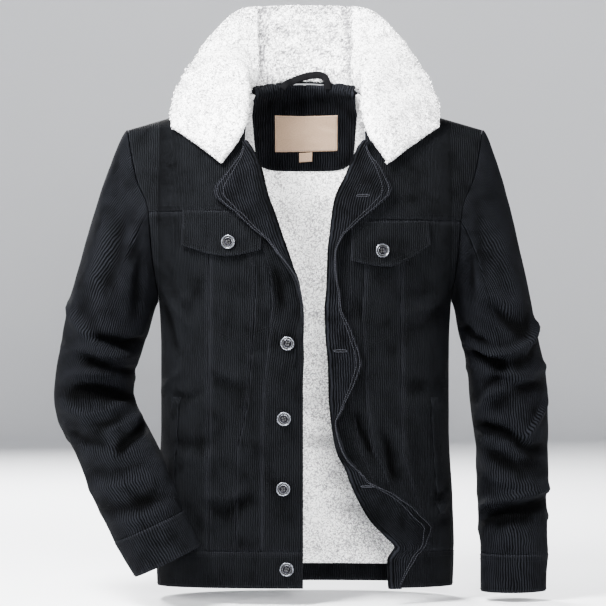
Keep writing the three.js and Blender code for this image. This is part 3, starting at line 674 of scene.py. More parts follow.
def wall(
    name: str,
    grid: Grid,
    mask: Array,
    thick: float | Array,
    lift: float | Array = 0.0,
    soft: float = 0.45,
    bulge: float = 0.0,
    wear_and_sheen: float = 1.0,
) -> bpy.types.Object:
    """Makes one closed piece of cloth over some cells of a grid.

    Args:
        name: the piece's name.
        grid: the sewn surface.
        mask: the cells it covers.
        thick: how deep the cloth is, for all or for each point.
        lift: how far its first face lies inside the grid.
        soft: how far the cloth rolls down at its edges.
        bulge: how far a thick edge rounds outwards.
        wear_and_sheen: how much paler its edges are, partly from rubbed wear and partly painted highlight.

    Returns:
        The piece.
    """
    m, n = grid.points.shape[:2]
    cells = mask.shape[1]
    count = np.zeros((m, n))
    fringe = np.zeros((m, n, 3))
    centre = np.zeros((m, n, 3))
    nxt = (np.arange(cells) + 1) % n
    upper, lower = grid.points[:-1], grid.points[1:]
    middle = (upper[:, :cells] + lower[:, :cells] + upper[:, nxt] + lower[:, nxt]) / 4
    for rows in (slice(0, -1), slice(1, None)):
        for cols in (np.arange(cells), nxt):
            np.add.at(count, (np.arange(m)[rows][:, None], cols[None, :]), mask)
            np.add.at(centre, (np.arange(m)[rows][:, None], cols[None, :]), middle * mask[..., None])
    border = (count > 0) & (count < 4)
    fringe[border] = unit(grid.points[border] - centre[border] / count[border][:, None])
    near = border.astype(float)
    spread = near.copy()
    spread[1:] = np.maximum(spread[1:], near[:-1] * 0.5)
    spread[:-1] = np.maximum(spread[:-1], near[1:] * 0.5)
    spread[:, 1:] = np.maximum(spread[:, 1:], near[:, :-1] * 0.5)
    spread[:, :-1] = np.maximum(spread[:, :-1], near[:, 1:] * 0.5)
    thick = np.broadcast_to(np.asarray(thick, float), (m, n))
    lift = np.broadcast_to(np.asarray(lift, float), (m, n))
    trim = 0.1 * fringe * border[..., None]
    outer = grid.points - grid.out * (lift + soft * border)[..., None] - trim
    inner = grid.points - grid.out * (lift + thick - soft * 0.6 * border)[..., None] - trim
    rim = (outer + inner) / 2 + fringe * (bulge + 0.1)
    number = np.arange(m * n).reshape(m, n)
    i, j = np.nonzero(mask)
    k = nxt[j]
    a, b, c, d = number[i, j], number[i, k], number[i + 1, k], number[i + 1, j]
    size = m * n
    faces = [np.stack([a, b, c, d], 1), np.stack([d, c, b, a], 1) + size]

    def open_at(di: int, dj: int) -> Array:
        """Tells for which cells the neighbour this far off isn't part of the piece."""
        ii, jj = i + di, j + dj
        if grid.loop:
            jj = jj % cells
        inside = (ii >= 0) & (ii < m - 1) & (jj >= 0) & (jj < cells)
        return ~(inside & mask[np.clip(ii, 0, m - 2), np.clip(jj, 0, cells - 1)])

    for p, q, step in ((a, b, (-1, 0)), (b, c, (0, 1)), (c, d, (1, 0)), (d, a, (0, -1))):
        gap = open_at(*step)
        p, q = p[gap], q[gap]
        faces.append(np.stack([q, p, p + 2 * size, q + 2 * size], 1))
        faces.append(np.stack([q + 2 * size, p + 2 * size, p + size, q + size], 1))
    faces = np.concatenate(faces)
    points = np.concatenate([outer.reshape(-1, 3), inner.reshape(-1, 3), rim.reshape(-1, 3)])
    # The faces' turn is checked against the outward directions, so that they point outwards.
    first = faces[len(i) // 2]
    turn = np.cross(points[first[1]] - points[first[0]], points[first[2]] - points[first[0]])
    if turn @ grid.out.reshape(-1, 3)[first[0]] < 0:
        faces = faces[:, ::-1]
    used, faces = np.unique(faces, return_inverse=True)
    faces = faces.reshape(-1, 4)
    grain = np.tile(grid.grain.reshape(-1, 2), (3, 1))
    made = make_object(name, points[used], faces, grain[used])
    # How near each point lies to the piece's edge, for its paler edge: partly rubbed wear, partly painted
    # highlight.
    edge = made.data.attributes.new("edge", "FLOAT", "POINT")
    edge.data.foreach_set("value", np.tile(spread.ravel() * wear_and_sheen, 3)[used].astype(np.float32))
    # Kept for the finishes: painted shade in the cloth's folds and painted highlight on its ridges.
    nap = made.data.attributes.new("nap", "FLOAT", "POINT")
    nap.data.foreach_set("value", np.tile(ridges(grid).ravel(), 3)[used].astype(np.float32))
    return made


def cut_of(grid: Grid, mask: Array) -> tuple[float, float, float]:
    """Returns the flat width, length and area in metres of a grid's masked cells."""
    p = grid.points
    cells = mask.shape[1]
    nxt = (np.arange(cells) + 1) % p.shape[1]
    across = np.linalg.norm(p[:-1][:, nxt] - p[:-1, :cells], axis=-1)
    along = np.linalg.norm(p[1:, :cells] - p[:-1, :cells], axis=-1)
    area = float((across * along * mask).sum()) * 1e-6
    width = float((across * mask).sum(axis=1).max()) * MM
    length = float((along * mask).sum(axis=0).max()) * MM
    width, length = max(width, 0.0101), max(length, 0.0101)  # a narrow tape counts as 10 mm wide
    return width, length, min(area, 0.999 * width * length)


class Workroom:
    def __init__(self) -> None:
        """Builds every finish once."""
        self.corduroy = Corduroy().build()
        self.pressed = Corduroy("pressed_fine_wale_corduroy", 2.9, "#0c0d0f", cut=1.1, speckle=6.0).build()
        self.sherpa = Sherpa().build()
        self.thread = Thread().build()
        self.rubbed_thread = Thread("rubbed_polyester_thread", "#303136").build()
        self.white_thread = Thread("pale_thread", "#6f7078").build()
        self.label = Woven("woven_label_cloth", "#8f7966", "#665444").build()
        self.tape = Woven("cotton_twill_tape", "#0b0b0d", "#030303", 1.2, 0.8).build()
        self.metal = Cast("polished_gunmetal_zinc", "#5f6167", 1.0, 0.26).build()
        self.lacquer = Cast("black_lacquered_zinc", "#020203", 0.0, 0.6).build()
        self.dull_metal = Cast("brushed_gunmetal_zinc", "#131316", 1.0, 0.35).build()

    def dress(self, piece: bpy.types.Object, material: bpy.types.Material) -> None:
        """Gives a piece its finish and its place on the frame."""
        piece.data.materials.clear()
        piece.data.materials.append(material)
        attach(piece, "root")
        LOG.info("%s: %d faces", piece.name, len(piece.data.polygons))

    def sew(
        self,
        piece: bpy.types.Object,
        nodes: Sequence[str],
        cut: tuple[float, float, float],
        material: bpy.types.Material,
        slot: str = "corduroy",
        held: str = "hung",
        rests_on: Sequence[str] = (),
    ) -> bpy.types.Object:
        """Dresses a sheet that stands for CAD nodes and hides those nodes."""
        self.dress(piece, material)
        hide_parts(*nodes)
        return piece


# Stitches and pile, by Geometry Nodes


def start_tree(name: str, result: str, **inputs: str) -> tuple[bpy.types.NodeTree, bpy.types.Node]:
    """Makes a Geometry Nodes tree.

    Args:
        name: its name.
        result: the name of the geometry that it gives.
        inputs: the type of each input, by the input's name.

    Returns:
        The tree and the node that holds its inputs.
    """
    tree = bpy.data.node_groups.new(name, "GeometryNodeTree")
    for entry, kind in inputs.items():
        tree.interface.new_socket(entry, in_out="INPUT", socket_type="NodeSocket" + kind)
    tree.interface.new_socket(result, in_out="OUTPUT", socket_type="NodeSocketGeometry")
    return tree, add_node(tree, "NodeGroupInput")


def finish_tree(tree: bpy.types.NodeTree, spread: Socket, material: bpy.types.Material) -> None:
    """Makes a tree's instances real, smooths them and gives them their material."""
    real = add_node(tree, "GeometryNodeRealizeInstances", {0: spread})
    smooth = add_node(tree, "GeometryNodeSetShadeSmooth", {0: real.outputs[0]})
    dressed = add_node(tree, "GeometryNodeSetMaterial", {0: smooth.outputs[0], "Material": material})
    add_node(tree, "NodeGroupOutput", {0: dressed.outputs[0]})


class StitchTree:
    """Lays a thread's stitches end to end along every curve it is given."""

    def __init__(self, material: bpy.types.Material) -> None:
        """Builds the tree with its named inputs."""
        tree, given = start_tree("stitch_row", "Stitches", Path="Geometry", Pitch="Float", Stitch="Vector")
        self.tree = tree
        even = add_node(
            tree, "GeometryNodeResampleCurve",
            {"Curve": given.outputs["Path"], "Length": given.outputs["Pitch"]},
            mode="LENGTH",
        )
        bead = add_node(tree, "GeometryNodeMeshIcoSphere", {"Radius": 1.0, "Subdivisions": 1})
        tangent = add_node(tree, "GeometryNodeInputTangent")
        turn = add_node(tree, "FunctionNodeAlignRotationToVector", {"Vector": tangent.outputs[0]}, axis="Z")
        spread = add_node(
            tree, "GeometryNodeInstanceOnPoints",
            {
                "Points": even.outputs[0], "Instance": bead.outputs["Mesh"], "Rotation": turn.outputs[0],
                "Scale": given.outputs["Stitch"],
            },
        )
        finish_tree(tree, spread.outputs[0], material)

    def sew(
        self, name: str, paths: Sequence[Array], pitch: float = 3.4,
        stitch: tuple[float, float] = (0.42, 1.35),
    ) -> bpy.types.Object:
        """Returns one mesh of stitches along paths in millimetres."""
        curve = bpy.data.curves.new(name + "_path", "CURVE")
        curve.dimensions = "3D"
        for path in paths:
            spline = curve.splines.new("POLY")
            spline.points.add(len(path) - 1)
            packed = np.concatenate([np.asarray(path) * MM, np.ones((len(path), 1))], axis=1)
            spline.points.foreach_set("co", packed.astype(np.float32).ravel())
        source = bpy.data.objects.new(name + "_path", curve)
        sizes = (stitch[0] * MM, stitch[0] * MM, stitch[1] * MM)
        return bake(name, source, self.tree, {"Pitch": pitch * MM, "Stitch": sizes})


class CurlTree:
    """Plants small curls of pile over a surface."""

    def __init__(self, material: bpy.types.Material) -> None:
        """Builds the tree with its named inputs."""
        tree, given = start_tree(
            "pile_curls", "Pile", Surface="Geometry", Density="Float", Size="Float", Seed="Int"
        )
        self.tree = tree
        points = add_node(
            tree, "GeometryNodeDistributePointsOnFaces",
            {
                "Mesh": given.outputs["Surface"], "Density": given.outputs["Density"],
                "Seed": given.outputs["Seed"],
            },
        )
        curl = add_node(
            tree, "GeometryNodeCurveSpiral",
            {"Resolution": 7, "Rotations": 1.1, "Start Radius": 1.0, "End Radius": 0.55, "Height": 1.1},
        )
        yarn = add_node(tree, "GeometryNodeCurvePrimitiveCircle", {"Resolution": 3, "Radius": 0.42})
        strand = add_node(
            tree, "GeometryNodeCurveToMesh", {"Curve": curl.outputs[0], "Profile Curve": yarn.outputs[0]}
        )
        lean = add_node(
            tree, "FunctionNodeRandomValue",
            {0: (-0.9, -0.9, -3.14), 1: (0.9, 0.9, 3.14), "Seed": given.outputs["Seed"]},
            data_type="FLOAT_VECTOR",  # how far each curl leans and turns
        )
        turn = add_node(
            tree, "FunctionNodeRotateRotation",
            {"Rotation": points.outputs["Rotation"], "Rotate By": lean.outputs[0]}, rotation_space="LOCAL",
        )
        vary = add_node(
            tree, "FunctionNodeRandomValue",
            {2: 0.7, 3: 1.35, "Seed": given.outputs["Seed"]}, data_type="FLOAT",
        )
        size = add_node(
            tree, "ShaderNodeMath", {0: vary.outputs[1], 1: given.outputs["Size"]}, operation="MULTIPLY"
        )
        spread = add_node(
            tree, "GeometryNodeInstanceOnPoints",
            {
                "Points": points.outputs[0], "Instance": strand.outputs[0], "Rotation": turn.outputs[0],
                "Scale": size.outputs[0],
            },
        )
        finish_tree(tree, spread.outputs[0], material)

    def plant(
        self, name: str, points: Array, faces: Array, density: float, size: float, seed: int
    ) -> bpy.types.Object:
        """Returns one mesh of curls over the given faces, density in curls a square metre."""
        source = make_object(name + "_bed", points, faces)
        return bake(name, source, self.tree, {"Density": density, "Size": size * MM, "Seed": seed})


def bake(name: str, source: bpy.types.Object, tree: bpy.types.NodeTree, values: dict) -> bpy.types.Object:
    """Runs a Geometry Nodes tree on an object and keeps the result as a plain mesh.

    Args:
        name: the new object's name.
        source: the object that the tree starts from; it is removed.
        tree: the tree.
        values: its inputs by name.

    Returns:
        The new object.
    """
    if source.name not in bpy.context.scene.collection.objects:
        bpy.context.scene.collection.objects.link(source)
    modifier = source.modifiers.new("nodes", "NODES")
    modifier.node_group = tree
    for item in tree.interface.items_tree:
        if item.in_out == "INPUT" and item.name in values:
            modifier[item.identifier] = values[item.name]
    bpy.context.view_layer.update()
    shape = source.evaluated_get(bpy.context.evaluated_depsgraph_get())
    mesh = bpy.data.meshes.new_from_object(shape)
    source.modifiers.remove(modifier)
    bpy.data.objects.remove(source)
    mesh.name = name
    made = bpy.data.objects.new(name, mesh)
    bpy.context.scene.collection.objects.link(made)
    return made


# Fronts

COLUMN_RUNS = ((0, 5, 36), (5, 7, 14), (7, 9, 16), (9, 11, 12), (11, 15, 10), (15, 17, 22))
SEAM_A, SEAM_B, FACING, PLACKET, FOLD, EDGE = 5, 7, 8, 9, 11, 17
HEM, WAIST, ARMPIT, YOKE, BREAK, TOP = 0, 2, 11, 15, 19, 22
ROW_RUNS = ((0, 2, 14), (2, 11, 80), (11, 15, 28), (15, 19, 28), (19, 22, 21))
YOKE_V = [0, 0.15, 0.3, 0.45, 0.6, 0.76, 0.91, 1]
HEM_Z = [-656, -632, -608]
BACK_SKIPS = 4


@dataclass
class FrontEdge:
    """One front's open edge: the fold's x, the turned width and the turn's angle at each height."""

    side: Side
    yoke: float
    fold: Sequence[Sequence[float]]
    turn: Sequence[Sequence[float]]
    angle: Sequence[Sequence[float]]


RIGHT_EDGE = FrontEdge(
    Side.RIGHT, -160,
    [
        [-665, 22], [-388, 22], [-351, 17.3], [-330, 15.3], [-314, 12.6], [-298, 9.5], [-282, 8.7],
        [-266, 11],
        [-251, 14], [-235, 20.4], [-227, 22.8], [-198, 33], [-166, 43.7], [-140, 53.2], [-104, 62], [-79, 74],
        [-68, 80], [-36, 79], [0, 78],
    ],
    [
        [-665, 13], [-330, 13], [-290, 14], [-264, 13.5], [-227, 13], [-210, 13], [-198, 17], [-185, 31],
        [-166, 45], [-152, 58], [-143, 65], [-132, 61], [-104, 33], [-90, 16], [-79, 6], [-68, 2],
    ],
    [
        [-665, 0], [-388, 0], [-351, 0.35], [-330, 0.7], [-314, 1.1], [-298, 1.4], [-277, 1.6],
        [-250, 1.8], [-228, 2.2], [-212, 2.75], [-200, 3.14], [-60, 3.14],
    ],
)
LEFT_EDGE = FrontEdge(
    Side.LEFT, -172,
    [
        [-665, 115], [-650, 114], [-618, 113], [-602, 123], [-585, 109], [-565, 90], [-549, 80], [-532, 71],
        [-516, 64], [-500, 58.5], [-474, 46], [-434, 39], [-408, 36.5], [-356, 35], [-330, 32.5], [-290, 31],
        [-264, 33], [-212, 35], [-188, 37.7], [-172, 39.6], [-157, 41.4], [-141, 45.2], [-125, 53],
        [-109, 60.5],
        [-79, 73.5], [-68, 80], [-36, 79], [0, 78],
    ],
    [
        [-665, 10], [-650, 10], [-635, 18], [-618, 29], [-602, 30], [-590, 45], [-582, 57], [-574, 67],
        [-549, 61], [-532, 46], [-516, 19], [-500, 12], [-474, 12], [-434, 11], [-414, 14], [-388, 28],
        [-362, 38], [-343, 36], [-316, 28], [-290, 16], [-264, 12], [-238, 10], [-218, 10], [-205, 11],
        [-192, 14], [-175, 30], [-157, 52], [-142, 66], [-133, 63], [-104, 34], [-90, 16], [-79, 6],
        [-68, 2],
    ],
    [
        [-665, 3.14], [-510, 3.14], [-485, 2.2], [-440, 2], [-405, 3.14], [-275, 3.14], [-250, 2.5],
        [-215, 2.35], [-195, 2.7], [-178, 3.14], [-60, 3.14],
    ],
)


def row_height(i: float, top: float, skip: int = 0) -> float:
    """Height of a body row whose yoke seam lies at the height top."""
    pit = ARMPIT - skip
    if i <= WAIST:
        return float(np.interp(i, [0, 1, 2], HEM_Z))
    if i <= pit:
        return -608 + 331 * (i - WAIST) / (pit - WAIST)
    return -277 + (top + 277) * (i - pit) / (YOKE - ARMPIT)


def unrolled(torso: Torso, x: Array) -> Array:
    """Place across the cloth in mm of each x, measured round the body at the waist."""
    xs = np.linspace(0, 262, 400)
    ys = torso.plain(np.minimum(xs, 193.9), -440.0, False)[..., 1]
    run = np.concatenate([[0], np.cumsum(np.hypot(np.diff(xs), np.diff(ys)))])
    return np.sign(x) * np.interp(np.abs(x), xs, run)


class Front:
    """One front: its panels, yoke, placket, waistband, facing, lining, flap and welt."""

    def __init__(self, torso: Torso, edge: FrontEdge) -> None:
        """Takes the body's form and this side's edge."""
        self.torso, self.edge = torso, edge
        self.s = edge.side.value
        self.fold, self.turn, self.angle = Curve(edge.fold), Curve(edge.turn, sharp=True), Curve(edge.angle)
        self.seam_rows = Curve([[-665, 92], [-488, 90], [-408, 75], [-225, 64], [-160, 66]])
        self.neck_z = Curve([[0, edge.yoke], [0.6, -70], [0.84, -28], [1, 0]])

    def seam_a(self, z: float) -> float:
        """Half width of the outer panel seam."""
        return 127 + (36 * float(np.clip((-480 - z) / 110, 0, 1)) if self.s > 0 else 0)

    def seam_b(self, z: float) -> float:
        """Half width of the inner panel seam."""
        return min(max(float(self.seam_rows(z)), float(self.fold(z)) + 44), self.seam_a(z) - 8)

    def columns(self, z: float, cols: Array) -> Array:
        """Half widths of the columns up to the fold at height z."""
        xs = self.torso.side(z)
        a = max(float(self.torso.half(z)), xs)
        xa, xb, xf = self.seam_a(z), self.seam_b(z), float(self.fold(z))
        ts, ta = (math.acos(min(1.0, x / a) ** (ROUND / 2)) for x in (xs, xa))
        t = ts + (ta - ts) * np.minimum(cols, SEAM_A) / SEAM_A
        rounded = a * np.cos(t) ** (2 / ROUND)
        wide = min(35.0, (xb - xf) * 0.62)
        straight = np.interp(cols, [SEAM_A, SEAM_B, PLACKET, FOLD], [xa, xb, xf + wide, xf])
        return np.where(cols == 0, xs, np.where(cols <= SEAM_A, rounded, straight))

    def pattern(self, rows: Array, cols: Array) -> Array:
        """Half width and height of each point up to the fold."""
        yoke = self.edge.yoke
        low = [np.stack([self.columns(z, cols), np.full(len(cols), z)], -1)
               for z in (row_height(i, yoke) for i in rows[rows <= YOKE])]
        seam = low[-1]
        share = (seam[0, 0] - seam[:, 0]) / (seam[0, 0] - seam[-1, 0])
        for i in rows[rows > YOKE]:
            v = float(np.interp(i - YOKE, range(8), YOKE_V))
            arm_z = yoke + (-47 - yoke) * v
            arm = np.array([float(self.torso.armhole(arm_z)), arm_z])
            neck_z = float(self.neck_z(v))
            neck = np.array([float(self.fold(neck_z)), neck_z])
            tip = 239 + (78 - 239) * share
            up = np.stack([tip, self.torso.ridge(tip, False)], -1)
            f = share[:, None]
            across = (1 - f) * arm + f * neck
            along = (1 - v) * seam + v * up
            corner = (1 - v) * ((1 - f) * seam[0] + f * seam[-1])
            corner = corner + v * ((1 - f) * np.array([239.0, -47.0]) + f * np.array([78.0, 0.0]))
            low.append(across + along - corner)
        return np.stack(low)

    def build(self) -> Grid:
        """Makes the whole front's grid, with the strip that turns at its open edge."""
        rows, cols = spans(*ROW_RUNS), spans(*COLUMN_RUNS)
        flat = self.pattern(rows, cols[cols <= FOLD])
        body, _ = self.torso.cloth(self.s * flat[..., 0], flat[..., 1])
        xf, z = flat[:, -1, 0], flat[:, -1, 1]
        _, base_n = self.torso.cloth(self.s * xf, z)
        base = body[:, -1]
        length, angle = self.turn(z), np.maximum(self.angle(z), 0.001)
        out = np.array([-self.s, 0.0, 0.0])
        rolled = np.maximum(1.5, length * 0.25)
        calm = 1 - np.clip(angle, 0, 1)
        radius = np.where(angle < 0.01, 0.0, ROLL)
        strip = []
        for c in cols[cols > FOLD]:
            k = c - FOLD
            t = min(k, 4) / 4
            if k <= 4:
                go = radius * np.sin(angle * t) + np.where(angle < 1, rolled * 2 * t, 0) * calm
                up = radius * (1 - np.cos(angle * t))
                strip.append(base + out * go[:, None] + base_n * up[:, None])
                continue
            d = length * (k - 4) / (EDGE - FOLD - 4)
            start = base + out * (radius * np.sin(angle))[:, None]
            start = start + base_n * (radius * (1 - np.cos(angle)))[:, None]
            flat_start = base + out * (rolled * 2 * calm)[:, None]
            w1 = np.clip(angle, 0, 1)[:, None]
            way = out * np.cos(angle)[:, None] + base_n * np.sin(angle)[:, None]
            free = flat_start * (1 - w1) + start * w1 + way * d[:, None]
            over, over_n = self.torso.cloth(self.s * (xf + d), z)
            laid = over + over_n * (2 * radius + 2.5 * d / 60)[:, None]
            w = np.clip((angle - 2) / 1.1, 0, 1)[:, None]
            strip.append(free * (1 - w) + laid * w)
        points = np.concatenate([body, np.stack(strip, 1)], axis=1)
        normal = facing_out(points, 1 if self.s < 0 else -1)
        low = rows <= ARMPIT
        normal[low, 0] = unit(normal[low, 0] * [1, 0, 1])
        shoulder = cols <= FOLD
        normal[-1, shoulder] = unit(normal[-1, shoulder] * [0.4, 0, 0] + [0, 0, 1])
        across = unrolled(self.torso, points[..., 0])
        grain = np.stack([across + wander(points), points[..., 2]], -1)
        self.grid = Grid(rows, cols, points, normal, grain)
        step = np.linalg.norm(np.diff(points, axis=1), axis=-1)
        run = np.concatenate([np.zeros((len(rows), 1)), np.cumsum(step, axis=1)], axis=1)
        fold = int(np.argmin(np.abs(cols - FOLD)))
        along = run_of(points[:, fold])
        edge_grain = np.stack(
            [run - run[:, fold : fold + 1] + wander(points, 0.4), np.broadcast_to(along[:, None], run.shape)],
            -1,
        )
        self.edge_grid = Grid(rows, cols, points, normal, edge_grain)
        return self.grid

    def seam_line(
        self, which: Callable[[float], float], low: float, high: float, shift: float = 0.0
    ) -> list[tuple[float, float]]:
        """Points (x, z) down a panel seam, shifted towards the side."""
        return [(self.s * (which(z) + shift), z) for z in np.linspace(low, high, 24)]

    def on_cloth(self, path: Path, lift: float = 0.35, step: float = 4.0) -> Array:
        """Lays a path of (x, z) points on the front, raised a little."""
        points = np.array(path, float)
        run = run_of(points)
        t = np.linspace(0, run[-1], max(2, int(run[-1] / step)))
        x, z = np.interp(t, run, points[:, 0]), np.interp(t, run, points[:, 1])
        p, n = self.torso.cloth(x, z)
        return p + n * lift

    def on_grid(self, grid: Grid, cells: Sequence[tuple[float, float]], lift: float) -> Array:
        """Points on a grid at (row, column) values, raised off it."""
        i = np.interp([c[0] for c in cells], grid.rows, np.arange(len(grid.rows)))
        j = np.interp([c[1] for c in cells], grid.cols, np.arange(len(grid.cols)))
        i0, j0 = np.minimum(i.astype(int), len(grid.rows) - 2), np.minimum(j.astype(int), len(grid.cols) - 2)
        u, v = (i - i0)[:, None], (j - j0)[:, None]

        def blend(data: Array) -> Array:
            low = data[i0, j0] * (1 - v) + data[i0, j0 + 1] * v
            high = data[i0 + 1, j0] * (1 - v) + data[i0 + 1, j0 + 1] * v
            return low * (1 - u) + high * u

        return blend(grid.points) + blend(grid.out) * lift

    def make(self, room: Workroom, stitches: StitchTree) -> None:
        """Makes and dresses every piece of this front."""
        grid, edge_grid, word = self.grid, self.edge_grid, self.edge.side.word
        plain = {
            f"panel_front_side_{word}": grid.part((WAIST, YOKE), (0, SEAM_A)),
            f"panel_front_centre_{word}": grid.part((WAIST, YOKE), (SEAM_A, SEAM_B)),
            f"panel_front_inner_{word}": grid.part((WAIST, YOKE), (SEAM_B, PLACKET)),
            f"yoke_front_{word}": grid.part((YOKE, TOP), (0, PLACKET)),
            f"waistband_front_{word}": grid.part((HEM, WAIST), (0, EDGE)),
        }
        for name, mask in plain.items():
            piece = wall("cloth_" + name, grid, mask, SHELL)
            room.sew(piece, [name], cut_of(grid, mask), room.pressed)
        mask = grid.part((WAIST, TOP), (PLACKET, FOLD)) | grid.part((WAIST, BREAK), (FOLD, EDGE))
        piece = wall(f"cloth_placket_{word}", edge_grid, mask, SHELL)
        room.sew(piece, [f"placket_{word}"], cut_of(grid, mask), room.pressed, held="folded")
        mask = grid.part((HEM, TOP), (FACING, FOLD)) | grid.part((HEM, BREAK), (FOLD, EDGE))
        piece = wall(f"cloth_facing_{word}", edge_grid, mask, SHELL, lift=SHELL + PLY)
        room.sew(piece, [f"facing_{word}"], cut_of(grid, mask), room.corduroy, held="folded")
        mask = grid.part((1, TOP), (0, FACING))
        pile = SHERPA + 0.9 * waver(grid.points, 11, 1.3) + 0.7 * waver(grid.points, 26, 5.1)
        rows, cols = np.meshgrid(grid.rows, grid.cols, indexing="ij")
        thin = np.maximum(1 - ease((rows - 1) / 0.5), 1 - ease((FACING - cols) / 0.8))
        piece = wall(
            f"cloth_lining_front_{word}", grid, mask, pile * (1 - thin) + 2.4 * thin, lift=SHELL + PLY
        )
        room.sew(piece, [f"lining_front_{word}"], cut_of(grid, mask), room.sherpa, "sherpa")
        self.make_flap(room, stitches)
        self.make_welt(room)
        self.make_stitches(room, stitches)

    def laid(
        self, at: Callable[[Array, Array], tuple[Array, Array]], nu: int, nv: int,
        rise: Callable[[Array, Array], Array],
    ) -> Grid:
        """Makes a grid over the front from a map of (u, v) to (x, z), raised by rise(u, v)."""
        v, u = np.meshgrid(np.linspace(0, 1, nv + 1), np.linspace(0, 1, nu + 1), indexing="ij")
        x, z = at(u, v)
        p, n = self.torso.cloth(x, z)
        points = p + n * rise(u, v)[..., None]
        normal = facing_out(points, 1)
        normal = normal * np.where((normal * n).sum(-1, keepdims=True) < 0, -1, 1)
        grain = np.stack([unrolled(self.torso, x), z], -1)
        return Grid(np.linspace(0, 1, nv + 1), np.linspace(0, 1, nu + 1), points, normal, grain)

    def make_flap(self, room: Workroom, stitches: StitchTree) -> None:
        """Makes the chest pocket's pointed flap with its twin stitching and button."""
        word = self.edge.side.word
        if self.s < 0:
            outer, inner, low = (-161, -159, -204), (-56, -160, -211), (-100, -219)
        else:
            outer, inner, low = (163, -173, -203), (60, -174, -226), (104, -233)

        def at(u: Array, v: Array) -> tuple[Array, Array]:
            """Where the flap's points lie on the front, seen from ahead."""
            x = outer[0] + (inner[0] - outer[0]) * u
            top = outer[1] + (inner[1] - outer[1]) * u
            mid = (low[0] - outer[0]) / (inner[0] - outer[0])
            w = np.where(u < mid, u / mid, (1 - u) / (1 - mid))
            end = np.where(u < mid, outer[2], inner[2])
            foot = end + (low[1] - end) * np.sin(w * math.pi / 2)
            return x, top + (foot - top) * v

        def rise(u: Array, v: Array) -> Array:
            """How far the flap stands off the front: more towards its free edge."""
            curl = 1.2 * v**3 * np.cos(2 * math.pi * (u * 1.4 + 0.2))
            return 2.25 + 4.6 * v * v + curl

        grid = self.laid(at, 44, 24, rise)
        mask = grid.part((0, 1), (0, 1))
        piece = wall(f"cloth_flap_{word}", grid, mask, 1.8, soft=0.6)
        room.sew(
            piece, [f"flap_{word}"], cut_of(grid, mask), room.pressed,
            rests_on=[f"cloth_panel_front_side_{word}"],
        )
        paths = []
        for inset in (0.045, 0.1):
            line = [(v, inset * 0.8) for v in np.linspace(0.03, 1 - inset, 20)]
            line += [(1 - inset * 1.6, u) for u in np.linspace(inset * 0.8, 1 - inset * 0.8, 50)]
            line += [(v, 1 - inset * 0.8) for v in np.linspace(1 - inset, 0.03, 20)]
            paths.append(self.on_grid(grid, line, 0.25))
        for v in (0.05, 0.17):
            paths.append(self.on_grid(grid, [(v, u) for u in np.linspace(0.01, 0.99, 50)], 0.25))
        room.dress(stitches.sew(f"stitches_flap_{word}", paths), room.thread)
        spot = (-99, -201) if self.s < 0 else (99.5, -212)
        p, n = self.torso.cloth(np.array(spot[0]), np.array(spot[1]))
        make_button(room, stitches, f"button_flap_{word}", p + n * 5.7, n)

    def make_welt(self, room: Workroom) -> None:
        """Makes the slanted welt of the side pocket."""
        word = self.edge.side.word

        def at(u: Array, v: Array) -> tuple[Array, Array]:
            """Where the welt's points lie on the front, seen from ahead."""
            return self.s * (165 + 11 * v + 11 * u), -404 - 155 * v

        grid = self.laid(at, 6, 60, lambda u, v: 1.9 + 0.25 * np.sin(v * 40))
        mask = grid.part((0, 1), (0, 1))
        piece = wall(f"cloth_welt_{word}", grid, mask, 1.5, wear_and_sheen=0.3)
        room.sew(
            piece, [f"welt_{word}"], cut_of(grid, mask), room.pressed,
            rests_on=[f"cloth_panel_front_side_{word}"],
        )

    def make_stitches(self, room: Workroom, stitches: StitchTree) -> None:
        """Sews the twin rows beside the seams, the placket, the waistband and the pocket bag."""
        word, yoke = self.edge.side.word, self.edge.yoke
        paths = []
        for shift in (1.8, 7.5):
            low_yoke = [(self.torso.side(yoke) - 3, yoke + shift), (self.seam_b(yoke) - 4, yoke + shift)]
            paths.append(self.on_cloth([(self.s * x, z) for x, z in low_yoke]))
            paths.append(self.on_cloth(self.seam_line(self.seam_a, -606, yoke - 2, shift)))
            paths.append(self.on_cloth(self.seam_line(self.seam_b, -606, yoke - 2, shift)))
        grid = self.grid
        for col, lift in ((PLACKET + 0.1, 0.3), (PLACKET + 0.42, 0.3)):
            paths.append(self.on_grid(grid, [(r, col) for r in np.linspace(0.15, 15, 90)], lift))
        for row in (1.93, 1.72, 0.14):
            last = 11 if self.s < 0 else 10.9
            paths.append(self.on_grid(grid, [(row, c) for c in np.linspace(0.05, last, 60)], 0.3))
        # The turned edge shows its inside, the facing, so its stitches lie on that face.
        lapel = []
        for share in (0.93, 0.8):
            rows = np.linspace(0.3, 18.6, 150)
            lapel.append(self.on_grid(grid, [(r, 15 + 2 * share) for r in rows], -(2 * SHELL + PLY + 0.25)))
            if self.s < 0:
                paths.append(self.on_grid(grid, [(r, 15 + 2 * share) for r in np.linspace(0.3, 12, 60)], 0.3))
        bag = {
            -1: [(207, 326), (220, 332), (232, 337.5), (250, 332), (267, 327)],
            1: [(398, 330), (386, 336), (375, 341), (362, 335), (350, 330)],
        }[self.s]
        for drop in (0, 3):
            paths.append(self.on_cloth(seen([(x, y + drop) for x, y in bag])))
        room.dress(stitches.sew(f"stitches_front_{word}", paths), room.thread)
        room.dress(
            stitches.sew(f"stitches_lapel_{word}", lapel, 2.9, (0.5, 1.35)), room.rubbed_thread
        )
        if self.s > 0:
            self.make_buttonholes(room, stitches)

